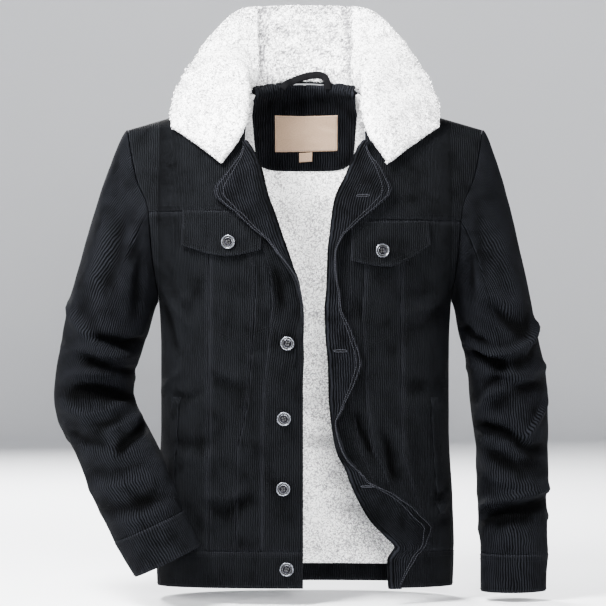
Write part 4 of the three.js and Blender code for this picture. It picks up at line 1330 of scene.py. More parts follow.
    def make_buttonholes(self, room: Workroom, stitches: StitchTree) -> None:
        """Works the buttonholes that show on the turned edge: a slit inside a bar of close stitches."""
        grid = self.grid
        strip = grid.cols >= 15
        points, out = grid.points[:, strip], grid.out[:, strip]
        loops, slits = [], []
        for x, z in seen([(363, 196), (341, 352), (368, 489)], 1.29):
            far = np.hypot(points[..., 0] - x, points[..., 2] - z)
            i, j = np.unravel_index(int(np.argmin(far)), far.shape)
            i, j = min(max(i, 2), points.shape[0] - 3), min(max(j, 6), points.shape[1] - 7)
            across = unit(points[i, j + 2] - points[i, j - 2])
            along = unit(points[i + 2, j] - points[i - 2, j])
            middle = points[i, j] - out[i, j] * (2 * SHELL + PLY + 0.35)
            turn = np.linspace(0, 2 * math.pi, 49)[:, None]
            loops.append(
                middle + across * 8.5 * np.cos(turn)
                + along * 1.5 * np.sign(np.sin(turn)) * np.abs(np.sin(turn)) ** 0.5
            )
            slits.append(middle + across * 7.6 * np.cos(turn[:-1]) + along * 0.6 * np.sin(turn[:-1]))
        room.dress(
            stitches.sew("stitches_buttonholes", loops, 0.8, (0.55, 0.7)), room.rubbed_thread
        )
        count = len(slits[0])
        faces = [tuple(range(k * count, (k + 1) * count)) for k in range(len(slits))]
        slit = make_object("slit_buttonholes", np.concatenate(slits), faces, np.concatenate(slits)[:, [0, 2]])
        room.dress(slit, room.tape)


def make_button(
    room: Workroom, stitches: StitchTree, node: str, place: Array, out: Array, radius: float = 9.5
) -> None:
    """Makes one four-hole button: a rolled bright rim, a lacquered dish, holes and thread.

    Args:
        room: the workroom.
        stitches: the thread's tree.
        node: the CAD node it stands for.
        place: the middle of its underside, in mm.
        out: the way it faces.
        radius: its radius in mm.
    """
    profile = [
        (0, 0.0), (3.0, 0.0), (radius - 1.6, 0.6), (radius - 0.5, 1.3), (radius, 2.2), (radius - 0.25, 3.1),
        (radius - 0.9, 3.75), (radius - 1.6, 3.7), (radius - 2.1, 3.1), (radius - 2.4, 2.0),
        (radius - 3.4, 1.8), (radius - 3.7, 2.6), (radius - 4.2, 2.8), (radius - 4.9, 2.55),
        (radius - 6.5, 1.95), (0.01, 1.7),
    ]  # radius and height of each turning, from the middle of the back to that of the face
    turns, sides = 40, 12
    hole, dish = 1.15, 2.12  # the sewing holes' radius and height, in mm
    points, faces = [], []
    for r, h in profile:
        for k in range(turns):
            a = 2 * math.pi * k / turns
            points.append((r * math.cos(a), r * math.sin(a), h))
    for i in range(len(profile) - 1):
        for k in range(turns):
            b = (k + 1) % turns
            faces.append((i * turns + k, i * turns + b, (i + 1) * turns + b, (i + 1) * turns + k))
    base = len(points)
    for hx, hy in ((1.5, 1.5), (-1.5, 1.5), (-1.5, -1.5), (1.5, -1.5)):
        around = [2 * math.pi * k / sides for k in range(sides)]
        points += [(hx + hole * math.cos(a), hy + hole * math.sin(a), dish) for a in around]
        faces.append(tuple(base + k for k in range(sides)))
        base += sides
    turn = Vector((0, 0, 1)).rotation_difference(Vector(out)).to_matrix()
    spin = turn @ Matrix.Rotation(0.35 * math.sin(place[2]), 3, "Z")
    world = np.array([np.array(spin @ Vector(p)) for p in points]) + place
    piece = make_object("trim_" + node, world, faces)
    room.dress(piece, room.metal)
    piece.data.materials.append(room.lacquer)
    piece.data.materials.append(room.dull_metal)
    for index, polygon in enumerate(piece.data.polygons):
        ring = index // turns
        holes = index >= (len(profile) - 1) * turns
        polygon.material_index = 1 if holes or 8 <= ring < 11 else 2 if ring >= 12 else 0
    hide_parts(node)
    threads = []
    for a, b in (((1.5, 1.5), (-1.5, -1.5)), ((-1.5, 1.5), (1.5, -1.5))):
        line = [
            (a[0] + (b[0] - a[0]) * t, a[1] + (b[1] - a[1]) * t, 2.2 + 0.5 * math.sin(math.pi * t))
            for t in (0, 0.25, 0.5, 0.75, 1)
        ]
        threads.append(np.array([np.array(spin @ Vector(p)) for p in line]) + place)
    room.dress(stitches.sew("thread_" + node, threads, 0.55, (0.28, 0.5)), room.thread)


# Back


class Back:
    """The back: its yoke, panel, waistband and lining."""

    def __init__(self, torso: Torso) -> None:
        """Takes the body's form."""
        self.torso = torso

    def build(self) -> Grid:
        """Makes the grid from the right side seam round to the left one."""
        skip, yoke, count = BACK_SKIPS, -152, 10
        pit, seam_row, top_row = ARMPIT - skip, YOKE - skip, TOP - skip
        rows = spans(
            (0, 2, 14), (2, pit, 80), (pit, seam_row, 28), (seam_row, seam_row + 4, 28),
            (seam_row + 4, top_row, 21),
        )
        cols = np.linspace(0, count, 65)
        torso = self.torso
        half = []
        for i in rows[rows <= seam_row]:
            z = row_height(i, yoke, skip)
            side = torso.side(z)
            a = max(float(torso.half(z)), side)
            start = math.acos(min(1.0, side / a) ** (ROUND / 2))
            t = start + (math.pi / 2 - start) * cols / count
            x = a * np.maximum(0, np.cos(t)) ** (2 / ROUND)
            x[0], x[-1] = side, 0.0
            half.append(np.stack([x, np.full(len(cols), z)], -1))
        seam = half[-1]
        k = count - 5
        w = np.clip((cols - k) / 5, 0, 1) * (math.pi / 2)
        x = np.where(cols > k, 78 * np.cos(w), 239 - 161 * np.minimum(cols, k) / k)
        z = np.where(cols > k, 19 * np.sin(w) ** 1.5, torso.ridge(x, True))
        x[-1] = 0
        top = np.stack([x, z], -1)
        share = (1 - seam[:, 0] / seam[0, 0])[:, None]
        for i in rows[rows > seam_row]:
            v = float(np.interp(i - seam_row, range(8), YOKE_V))
            z = yoke + (-47 - yoke) * v
            arm = np.array([float(torso.armhole(z)), z])
            middle = np.array([0.0, yoke + (19 - yoke) * v])
            across = (1 - share) * arm + share * middle
            along = (1 - v) * seam + v * top
            corner = (1 - v) * ((1 - share) * seam[0] + share * seam[-1])
            corner = corner + v * ((1 - share) * top[0] + share * top[-1])
            half.append(across + along - corner)
        flat = np.stack(half)
        whole = np.concatenate([flat * [-1, 1], flat[:, -2::-1]], axis=1)
        points, _ = torso.cloth(whole[..., 0], whole[..., 1], True)
        normal = facing_out(points, -1)
        for j in (0, -1):
            normal[rows <= pit, j] = unit(normal[rows <= pit, j] * [1, 0, 1])
        all_cols = np.linspace(0, 2 * count, whole.shape[1])
        ends = (all_cols <= 5) | (all_cols >= 2 * count - 5)
        normal[-1, ends] = unit(normal[-1, ends] * [0.4, 0, 0] + [0, 0, 1])
        grain = np.stack([unrolled(torso, whole[..., 0]) + wander(points), whole[..., 1]], -1)
        self.grid = Grid(rows, all_cols, points, normal, grain)
        return self.grid

    def make(self, room: Workroom, stitches: StitchTree) -> None:
        """Makes and dresses the back's pieces."""
        grid = self.grid
        seam, top, ends = YOKE - BACK_SKIPS, TOP - BACK_SKIPS, (0, 20)
        parts = {"yoke_back": (seam, top), "panel_back": (WAIST, seam), "waistband_back": (HEM, WAIST)}
        for name, rows in parts.items():
            mask = grid.part(rows, ends)
            room.sew(wall("cloth_" + name, grid, mask, SHELL), [name], cut_of(grid, mask), room.pressed)
        mask = grid.part((1, top), ends)
        pile = SHERPA + 0.9 * waver(grid.points, 11, 1.3) + 0.8 * waver(grid.points, 26, 5.1)
        thin = (1 - ease((grid.rows - 1) / 0.5))[:, None]
        piece = wall("cloth_lining_back", grid, mask, pile * (1 - thin) + 2.4 * thin, lift=SHELL + PLY)
        room.sew(piece, ["lining_back"], cut_of(grid, mask), room.sherpa, "sherpa")
        paths = []
        for z in (-150, -144):
            x = np.linspace(-205, 205, 110)
            p, n = self.torso.cloth(x, np.full(110, float(z)), True)
            paths.append(p + n * 0.3)
        for row in (0.14, 1.72, 1.93):
            r = int(np.argmin(np.abs(grid.rows - row)))
            paths.append(grid.points[r] + grid.out[r] * 0.3)
        room.dress(stitches.sew("stitches_back", paths), room.thread)


# Sleeves

ARM_CREASES = {
    Side.RIGHT: [
        (3.6, 7, [(66, 296), (74, 318), (83, 332), (97, 343), (110, 350), (126, 358)]),
        (-5.5, 6, [(88, 337), (110, 343), (128, 346), (144, 341)]),
        (-3.6, 6, [(80, 355), (98, 362), (114, 368), (136, 371)]),
        (2.6, 6, [(58, 346), (78, 350), (100, 356), (132, 356)]),
        (2.2, 6, [(58, 378), (80, 373), (104, 373), (133, 366)]),
        (-4.4, 7, [(74, 390), (98, 390), (118, 394), (138, 399)]),
        (3.2, 8, [(60, 406), (86, 416), (110, 412), (128, 401)]),
        (-3.2, 6, [(118, 449), (132, 437), (148, 424)]),
        (2.0, 7, [(108, 436), (122, 426), (140, 416)]),
        (-1.7, 8, [(68, 430), (90, 440), (112, 442)]),
        (-1.7, 8, [(84, 470), (105, 468), (130, 462), (156, 452)]),
        (1.5, 8, [(90, 488), (120, 484), (152, 474)]),
        (-1.4, 8, [(100, 508), (130, 502), (166, 490)]),
        (-1.6, 11, [(126, 215), (118, 250), (106, 292)]),
        (1.5, 11, [(106, 215), (98, 250), (88, 290)]),
        (-2.2, 9, [(148, 236), (141, 275), (136, 318)]),
        (-2.2, 7, [(152, 200), (144, 228), (131, 262)]),
        (1.4, 9, [(120, 520), (140, 514), (170, 502)]),
    ],
    Side.LEFT: [
        (3.6, 6, [(464, 344), (490, 354), (512, 352), (526, 342), (538, 322)]),
        (-5.5, 7, [(470, 352), (486, 362), (504, 366)]),
        (-2.5, 7, [(462, 326), (472, 340), (486, 344)]),
        (2.2, 7, [(500, 374), (520, 374), (548, 366)]),
        (2.6, 7, [(482, 414), (488, 397), (505, 385), (532, 378)]),
        (-2.6, 6, [(478, 384), (494, 380), (520, 386), (546, 384)]),
        (-4.6, 7, [(474, 427), (492, 430), (506, 434), (520, 442)]),
        (2.8, 8, [(480, 468), (500, 480), (520, 486), (548, 484)]),
        (-3.6, 7, [(516, 444), (532, 450), (549, 448)]),
        (2.2, 4, [(526, 438), (537, 421), (548, 400)]),
        (-2.4, 8, [(478, 446), (494, 456), (516, 464), (544, 466)]),
        (-5.0, 6, [(478, 524), (488, 513), (504, 508), (524, 506), (549, 500)]),
        (3.8, 6, [(477, 512), (490, 503), (512, 498), (548, 490)]),
        (-2.4, 9, [(486, 530), (505, 522), (534, 520)]),
        (-1.6, 11, [(472, 196), (480, 240), (486, 284)]),
        (1.6, 11, [(500, 226), (510, 268), (518, 304)]),
        (-2.0, 8, [(462, 212), (468, 258), (471, 302)]),
        (1.7, 3.5, [(537, 320), (531, 339), (522, 356)]),
        (-2.0, 8, [(492, 306), (506, 320), (520, 326)]),
        (1.4, 9, [(488, 296), (506, 304), (526, 306)]),
    ],
}

ARM_RINGS = {
    Side.RIGHT: [
        [-328, -331, -215, -331, 0, 66], [-336, -371, -226, -366, 3, 64], [-339, -405, -231, -392, 4, 61],
        [-333, -439, -228, -412, -6, 59], [-321, -460, -218, -433, -22, 56],
        [-307, -481, -205, -456, -45, 53], [-291, -514, -189, -483, -74, 50],
        [-276, -546, -177, -512, -94, 47], [-262, -571, -167, -534, -107, 45],
        [-250, -594, -160, -553, -116, 43],
    ],
    Side.LEFT: [
        [313, -324, 211, -334, 0, 66], [319, -347, 215, -355, 2, 64], [325, -374, 220, -380, 4, 61],
        [328, -405, 223, -408, 4, 59], [328, -436, 225, -436, 0, 57], [328, -468, 229, -468, -4, 54],
        [328, -506, 230, -506, -10, 51], [325, -546, 232, -546, -17, 48], [326, -586, 233, -586, -24, 45],
        [326, -615, 235, -615, -29, 43],
    ],
}  # outer x and z, inner x and z, middle y, half depth
CUFF_RINGS = {
    Side.RIGHT: [
        [-250, -594, -160, -553, -116, 43], [-236, -617, -148, -576, -122, 40],
        [-222, -639, -137, -598, -127, 38],
    ],
    Side.LEFT: [
        [326, -615, 235, -615, -29, 43], [323, -641, 235, -641, -33, 40], [322, -665, 235, -666, -37, 38]
    ],
}


class Sleeve:
    """One sleeve: its top, its under part and its cuff."""

    def __init__(self, torso: Torso, side: Side, front: Grid, back: Grid) -> None:
        """Takes the body's grids, whose armhole seam it starts from."""
        self.torso, self.side, self.s = torso, side, side.value
        column = 0 if side is Side.RIGHT else -1
        down = front.points[front.rows >= ARMPIT, 0][::-1]
        up = back.points[back.rows >= ARMPIT - BACK_SKIPS, column][1:-1]
        self.start = np.concatenate([down, up])
        self.half = len(down) - 1
        closed = np.concatenate([self.start, self.start[:1]])
        run = run_of(closed)
        j = np.arange(len(self.start))
        low, high = run[self.half], run[-1]
        self.turns = np.where(
            j <= self.half, 0.5 * run[:-1] / low, 0.5 + 0.5 * (run[:-1] - low) / (high - low)
        )
        self.creases = creases(ARM_CREASES[side], 1.335, 2.7)
        # The hidden side has like creases, a little lower and mirrored across the arm.
        rows = [
            (h * 0.9, w + 1, [(x, y + 9 + 0.08 * (x - 300) * self.s) for x, y in path])
            for h, w, path in ARM_CREASES[side]
        ]
        self.hidden = creases(rows, 1.335, 2.7)

    def ring(self, row: Array) -> Array:
        """Points of one ring from its six numbers."""
        xo, zo, xi, zi, y, d = row
        a = 2 * math.pi * self.turns[:, None]
        centre = np.array([(xo + xi) / 2, y, (zo + zi) / 2])
        out = np.array([(xo - xi) / 2, 0, (zo - zi) / 2])
        return centre + out * np.cos(a) + np.array([0, -1.0, 0]) * d * np.sin(a)

    def cap(self, t: float, first: Array) -> Array:
        """Points of the sleeve's head at t from the armhole to the first full ring."""
        a = 2 * math.pi * self.turns
        up, low = np.maximum(0, np.cos(a)), np.maximum(0, -np.cos(a))
        mid = 1 - up - low
        lead = np.stack(
            [self.s * (62 * up + 70 * mid + 26 * low), -np.sin(a) * 26, -(42 * up + 110 * mid + 34 * low)], -1
        )
        land = np.stack([self.s * 26 + 0 * up, 0 * up, -(190 * up + 130 * mid + 60 * low)], -1)
        away = np.stack([self.s * (0.3 + up), 0 * up, 0 * up], -1) * max(0.0, 1 - 5 * t)
        h00, h10 = 2 * t**3 - 3 * t**2 + 1, t**3 - 2 * t**2 + t
        h01, h11 = 3 * t**2 - 2 * t**3, t**3 - t**2
        return self.start * h00 + lead * h10 + first * h01 + land * h11 + away

    def creased(self, points: Array, flip: float, calm: Array) -> Grid:
        """Adds the creases to a tube of rings and wraps it as a grid."""
        normal = facing_out(points, flip, True)
        face = np.sin(2 * math.pi * self.turns)[None, :]
        x, z = points[..., 0], points[..., 2]
        ahead = sum(c.lift(x, z) for c in self.creases) * ease(face * 2.2 + 0.25)
        behind = sum(c.lift(x, z) for c in self.hidden) * ease(-face * 2.2 + 0.25)
        soft = 1.0 * waver(points, 55, 4.4) + 0.5 * waver(points, 20, 9.2)
        moved = points + normal * ((ahead + behind + soft) * calm[:, None])[..., None]
        out = facing_out(moved, flip, True)
        closed = np.concatenate([moved, moved[:, :1]], axis=1)
        girth = np.linalg.norm(np.diff(closed, axis=1), axis=-1).sum(axis=1)
        girth = np.convolve(np.pad(girth, 4, mode="edge"), np.ones(9) / 9, mode="valid")
        along = np.concatenate([[0], np.cumsum(np.linalg.norm(np.diff(moved, axis=0), axis=-1).mean(axis=1))])
        around = (self.turns + 0.16) % 1.0 - 0.5
        across = around[None, :] * girth[:, None]
        # Where the arm bends, the cloth twists, so the wales swing across each fold.
        swing = (ahead + behind) * (0.45 + 0.6 * waver(points, 70, 8.8)) * calm[:, None]
        across = across + swing + wander(points, 1.6)
        grain = np.stack([across, np.broadcast_to(-along[:, None], across.shape)], -1)
        rows = np.arange(len(points), dtype=float)
        return Grid(rows, np.arange(len(self.start), dtype=float), moved, out, grain, True)

    def make(self, room: Workroom, stitches: StitchTree) -> None:
        """Makes and dresses the sleeve's pieces."""
        word, flip = self.side.word, -1 if self.s < 0 else 1
        table = np.array(ARM_RINGS[self.side], float)
        index = np.arange(len(table))
        lines = [Curve(np.stack([index, table[:, k]], -1)) for k in range(6)]
        fine = [np.array([float(line(t)) for line in lines]) for t in np.linspace(0, len(table) - 1, 91)]
        first = self.ring(fine[0])
        head = [self.cap(t, first) for t in np.linspace(0, 1, 41)[:-1]]
        tube = [self.ring(row) for row in fine]
        points = np.stack(head + tube)
        calm = ease(np.arange(len(points)) / 14) * ease((len(points) - 1 - np.arange(len(points))) / 5)
        grid = self.creased(points, flip, calm)
        seam_one, seam_two = 7 * 7, len(self.start) - 7 * 7
        whole = np.ones((len(points) - 1, len(self.start)), bool)
        under = whole.copy()
        under[:, :seam_one] = False
        under[:, seam_two:] = False
        arm_nodes = {f"sleeve_under_{word}": under, f"sleeve_upper_{word}": ~under}
        for name, mask in arm_nodes.items():
            piece = wall("cloth_" + name, grid, mask, 1.8, soft=0.2, wear_and_sheen=0.0)
            room.sew(piece, [name], cut_of(grid, mask), room.corduroy)
        cuff_table = np.array(CUFF_RINGS[self.side], float)
        steps = np.linspace(0, 2, 19)
        cuff_rows = [
            np.array([float(np.interp(t, [0, 1, 2], cuff_table[:, k])) for k in range(6)]) for t in steps
        ]
        rings = np.stack([self.ring(row) for row in cuff_rows])
        cuff = self.creased(rings, flip, np.full(len(rings), 0.25))
        shift = cuff.grain[0, 0, 1] - grid.grain[-1, 0, 1]
        cuff.grain = cuff.grain - np.array([0, shift])
        cuff.points = cuff.points + cuff.out * 0.5
        mask = np.ones((len(rings) - 1, len(self.start)), bool)
        room.sew(
            wall(f"cloth_cuff_{word}", cuff, mask, 2.4, soft=0.7), [f"cuff_{word}"], cut_of(cuff, mask),
            room.corduroy,
        )
        paths = []
        for row in (1, 3, -2):
            ring = cuff.points[row] + cuff.out[row] * 0.3
            paths.append(np.concatenate([ring, ring[:1]]))
        room.dress(stitches.sew(f"stitches_sleeve_{word}", paths), room.thread)


# Collar

STATIONS = [
    [[-108, -106, -96], [-22, 6, 18], [26, -22, -18], [-178, -42, -44]],
    [[-80, -93, -58], [-8, -6, 34], [44, -30, 2], [-180, -26, -24]],
    [[-75, -66, -34], [-2, -4, 42], [44, -24, 2], [-175, -6, 4]],
    [[-75, -30, 1.1], [2, 0, 48], [40, -16, -2], [-154, 20, 42]],
    [[-74, 8, 3.1], [3, 0, 50], [24, -6, -22], [-128, 44, 82]],
    [[-62, 38, 11.1], [2, 2, 45], [8, -4, -36], [-92, 66, 118]],
    [[-36, 58, 18.1], [0, 3, 42], [1, -2, -40], [-52, 80, 126]],
    [[0, 64, 21.1], [0, 4, 42], [0, -2, -40], [0, 86, 128]],
]  # neck edge, the way it rises, the way it reaches its outer edge, outer edge


class Collar:
    """The turned collar: sherpa on top, corduroy beneath."""

    def grid(self, across: int, along: int) -> Grid:
        """Makes the collar's grid with this many cells each way."""
        table = np.array(STATIONS, float)
        whole = np.concatenate([table, table[-2::-1] * [-1, 1, 1]])
        t = np.linspace(0, len(whole) - 1, along + 1)
        i = np.minimum(t.astype(int), len(whole) - 2)
        f = (t - i)[:, None, None]
        q = [whole[np.clip(i + c, 0, len(whole) - 1)] for c in (-1, 0, 1, 2)]
        line = 0.5 * (
            2 * q[1] + (q[2] - q[0]) * f + (2 * q[0] - 5 * q[1] + 4 * q[2] - q[3]) * f**2
            + (3 * q[1] - q[0] - 3 * q[2] + q[3]) * f**3
        )
        neck, rise, reach, edge = (line[:, k] for k in range(4))
        w = np.linspace(0, 1, across + 1)[:, None, None]
        points = neck * (1 - w) ** 3 + 3 * (neck + rise) * w * (1 - w) ** 2
        points = points + 3 * (edge + reach) * w**2 * (1 - w) + edge * w**3
        run_v, run_u = run_of(points[:, along // 2]), run_of(points[across // 2])
        grain = np.stack(np.broadcast_arrays(run_u[None, :], run_v[:, None]), -1)
        rows, cols = np.linspace(0, 1, across + 1), np.linspace(0, 1, along + 1)
        return Grid(rows, cols, points, facing_out(points, 1), grain)

    @staticmethod
    def shade_behind(piece: bpy.types.Object) -> None:
        """Paints shade into the pile between the curls of the part behind the neck, more in some places."""
        if "nap" not in piece.data.attributes:
            piece.data.attributes.new("nap", "FLOAT", "POINT")
        nap = piece.data.attributes["nap"].data
        for vertex in piece.data.vertices:
            x, y, z = vertex.co * 1000
            if abs(x) < 66 and z > 16:
                patch = noise.noise(Vector((x / 26, 2.0, z / 14))) + 0.4 * (abs(x) > 50)
                fine = noise.noise(Vector((x, y, z)) / 2.4)
                nap[vertex.index].value -= max(0.0, 0.25 + 1.9 * fine) * (1.1 + 1.6 * patch)

    def make(self, room: Workroom, curls: CurlTree) -> None:
        """Makes and dresses both collar pieces and the pile's curls."""
        grid = self.grid(54, 270)
        mask = grid.part((0.03, 1), (0, 1))
        cut = cut_of(grid, mask)
        points = grid.points
        w, u = np.meshgrid(grid.rows, grid.cols, indexing="ij")
        rim = np.minimum(np.minimum(w * 130, (1 - w) * 130), np.minimum(u, 1 - u) * 800)
        plump = 2.2 * ease(rim / 22)
        lumps = 1.5 * waver(points, 17, 2.2) + 1.1 * waver(points, 7.5, 6.1)
        curl = np.fromiter(
            (noise.voronoi(Vector(p))[0][0] for p in points.reshape(-1, 3) / 4.6), float, points[..., 0].size
        )
        curl = 1.5 * (0.62 - curl.reshape(w.shape)) + 0.5 * waver(points, 2.6, 1.1)
        # The wings stand in front of the part behind the neck, with a step between them.
        inward = ease(-grid.out[..., 1] / 0.4) * ease((points[..., 2] - 18) / 6)
        lumps = lumps + inward * (2.6 - 5.2 * ease((67 - np.abs(points[..., 0])) / 5))
        puff = Grid(
            grid.rows, grid.cols, points + grid.out * (plump + lumps + curl)[..., None], grid.out, grid.grain
        )
        deep = np.maximum(1.0, SHERPA + plump + lumps + curl)
        piece = wall("cloth_collar", puff, mask, deep, soft=2.0, bulge=2.6)
        self.shade_behind(piece)
        room.sew(piece, ["collar"], cut, room.sherpa, "sherpa", "folded")
        under = self.grid(30, 150)
        mask = under.part((0.0, 0.97), (0.02, 0.98))
        cut = cut_of(under, mask)
        piece = wall("cloth_collar_under", under, mask, 1.3, lift=SHERPA + 0.9)
        room.sew(piece, ["collar_under"], cut, room.corduroy, "corduroy", "folded", ["cloth_collar"])
        m, n = w.shape
        number = np.arange(m * n).reshape(m, n)
        faces = np.stack(
            [number[:-1, :-1], number[:-1, 1:], number[1:, 1:], number[1:, :-1]], -1
        ).reshape(-1, 4)
        pile = curls.plant("pile_collar", puff.points.reshape(-1, 3), faces, 20000, 1.3, 4)
        self.shade_behind(pile)
        room.dress(pile, room.sherpa)
        ring = np.concatenate([puff.points[-1], puff.points[:, 0], puff.points[:, -1]])
        inner = np.concatenate([grid.points[-1], grid.points[:, 0], grid.points[:, -1]])
        away = np.concatenate([grid.out[-1], grid.out[:, 0], grid.out[:, -1]])
        band = np.concatenate([ring, inner - away * SHERPA])
        strips, base, total = [], 0, len(ring)
        for length in (n, m, m):
            k = np.arange(base, base + length - 1)
            strips.append(np.stack([k, k + 1, k + 1 + total, k + total], 1))
            base += length
        edge = curls.plant("pile_collar_edge", band, np.concatenate(strips), 90000, 1.6, 9)
        room.dress(edge, room.sherpa)


# Neck


class Neck:
    """Inside the back neck: the corduroy facing, the bare label, the size tab and the loop."""

    def __init__(self, behind: Sequence[bpy.types.Object]) -> None:
        """Takes the made pieces that these are sewn on."""
        self.trees = [self.tree_of(piece) for piece in behind]

    @staticmethod
    def tree_of(piece: bpy.types.Object) -> BVHTree:
        """Returns a piece's faces as a tree to look along lines in."""
        mesh = piece.data
        return BVHTree.FromPolygons([v.co for v in mesh.vertices], [tuple(f.vertices) for f in mesh.polygons])

    def inside(self, x: Array, z: Array, start: float = 12.0) -> Array:
        """Returns how far back, in mm, the first cloth lies behind each point of the neck."""
        found = np.empty(x.shape)
        for spot in np.ndindex(x.shape):
            eye = Vector((x[spot], start, z[spot])) / 1000
            hits = [tree.ray_cast(eye, Vector((0, 1, 0)))[0] for tree in self.trees]
            found[spot] = min([hit.y * 1000 for hit in hits if hit is not None], default=60.0)
        return found

    def patch(self, at: Callable, nu: int, nv: int, gap: float, curl: Callable | None = None) -> Grid:
        """Makes a grid on what lies behind it from a map of (u, v) to (x, z)."""
        v, u = np.meshgrid(np.linspace(0, 1, nv + 1), np.linspace(0, 1, nu + 1), indexing="ij")
        x, z = at(u, v)
        y = self.inside(x, z)
        for _ in range(14):
            pad = np.pad(y, 1, mode="edge")
            y = np.minimum(y, (pad[:-2, 1:-1] + pad[2:, 1:-1] + pad[1:-1, :-2] + pad[1:-1, 2:]) / 4 + 0.15)
        points = np.stack([x, y - gap, z], -1)
        normal = facing_out(points, 1)
        normal = normal * np.where(normal[..., 1:2] > 0, -1, 1)
        if curl is not None:
            points = points + normal * curl(u, v)[..., None]
        return Grid(
            np.linspace(0, 1, nv + 1), np.linspace(0, 1, nu + 1), points, normal, np.stack([x, z], -1)
        )

    def make(self, room: Workroom, stitches: StitchTree) -> None:
        """Makes and dresses the four pieces."""

        def facing_at(u: Array, v: Array) -> tuple[Array, Array]:
            s = 2 * u - 1
            top = 16.6 - 1.0 * s**2
            foot = -98.5 + 14 * np.abs(s) ** 7
            half = 66.2 + 4.8 * np.minimum(1, 5 * v) - 7 * np.maximum(0, v - 0.4)
            return s * half - 0.6, top + (foot - top) * v

        def over_pile(u: Array, v: Array) -> Array:
            return 3.4 * ease((0.2 - v) / 0.12) + 3.6 * np.abs(2 * u - 1) ** 6 * ease((0.45 - v) / 0.2)

        grid = self.patch(facing_at, 64, 50, 2.4, over_pile)
        mask = grid.part((0, 1), (0, 1))
        facing = wall("cloth_neck_facing", grid, mask, 1.4)
        room.sew(
            facing, ["neck_facing"], cut_of(grid, mask), room.corduroy, held="laid",
            rests_on=["cloth_lining_back"],
        )
        self.trees.append(self.tree_of(facing))
        rows = [(0.25 + 0.72 * t, 0.03) for t in np.linspace(0, 1, 30)]
        rows += [(0.97, 0.03 + 0.94 * t) for t in np.linspace(0, 1, 50)]
        rows += [(0.97 - 0.72 * t, 0.97) for t in np.linspace(0, 1, 30)]
        pick = [(int(r * 50), int(c * 64)) for r, c in rows]
        path = np.array([grid.points[i, j] + grid.out[i, j] * 0.3 for i, j in pick])
        room.dress(stitches.sew("stitches_neck", [path]), room.thread)
        label = self.patch(
            lambda u, v: (-41 + 85.5 * u, -23.5 - 49 * v + 1.5 * u * v), 40, 24, 1.1,
            lambda u, v: 0.3 * np.sin(5 * u + 2) * v,
        )
        mask = label.part((0, 1), (0, 1))
        room.sew(
            wall("cloth_neck_label", label, mask, 0.7, soft=0.2), ["neck_label"], cut_of(label, mask),
            room.label, "label", "laid", ["cloth_neck_facing"],
        )
        paths = []
        for row in (1, -2):
            paths.append((label.points + label.out * 0.2)[row, 1:-1])
        for col in (1, -2):
            paths.append((label.points + label.out * 0.2)[1:-1, col])
        room.dress(stitches.sew("stitches_label", paths, 2.6, (0.3, 1.0)), room.white_thread)
        tab = self.patch(
            lambda u, v: (-8 + 18 * u, -73.5 - 12.5 * v + 1.2 * u), 8, 6, 1.0, lambda u, v: 0.9 * v * v
        )
        mask = tab.part((0, 1), (0, 1))
        room.sew(
            wall("cloth_size_tab", tab, mask, 0.6, soft=0.15), ["size_tab"], cut_of(tab, mask), room.label,
            "label", "laid", ["cloth_neck_facing"],
        )
        self.make_loop(room)

    def make_loop(self, room: Workroom) -> None:
        """Makes the hanging loop, a flat band that arches before the collar's back."""
        foot = self.inside(np.array([-30.0, 31.0]), np.array([12.0, 12.0])) - 2.4
        path = np.array([
            (-31, 11, foot[0]), (-26, 17.5, foot[0] - 1), (-16, 22.5, 50), (-6, 26.5, 50), (6, 29.8, 49),
            (17, 30.6, 48), (25, 28.5, 47), (29.5, 22, foot[1] - 1), (31, 15.5, foot[1] - 0.5),
            (31.3, 10, foot[1]),
        ])
        t = np.linspace(0, len(path) - 1, 61)
        knots = np.arange(len(path))
        line = np.stack([Curve(np.stack([knots, path[:, k]], -1))(t) for k in range(3)], -1)
        way = unit(np.gradient(line[:, :2], axis=0))
        side = np.stack([-way[:, 1], way[:, 0]], -1)
        w = np.linspace(-5.0, 5.0, 7)
        flat = line[:, None, :2] + side[:, None, :] * w[None, :, None]
        bow = 0.5 * (1 - (w / 5.0) ** 2)
        y = line[:, None, 2] - bow[None, :]
        points = np.stack([flat[..., 0], np.broadcast_to(y, flat.shape[:2]), flat[..., 1]], -1)
        run = run_of(line)
        grain = np.stack(np.broadcast_arrays(w[None, :], run[:, None]), -1)
        out = np.broadcast_to(np.array([0.0, -1.0, 0.0]), points.shape).copy()
        grid = Grid(np.linspace(0, 1, 61), np.linspace(0, 1, 7), points, out, grain)
        mask = grid.part((0, 1), (0, 1))
        room.sew(
            wall("tape_hang_loop", grid, mask, 1.8, soft=0.4), ["hang_loop"], cut_of(grid, mask), room.tape,
            "corduroy", "folded",
        )


# Studio


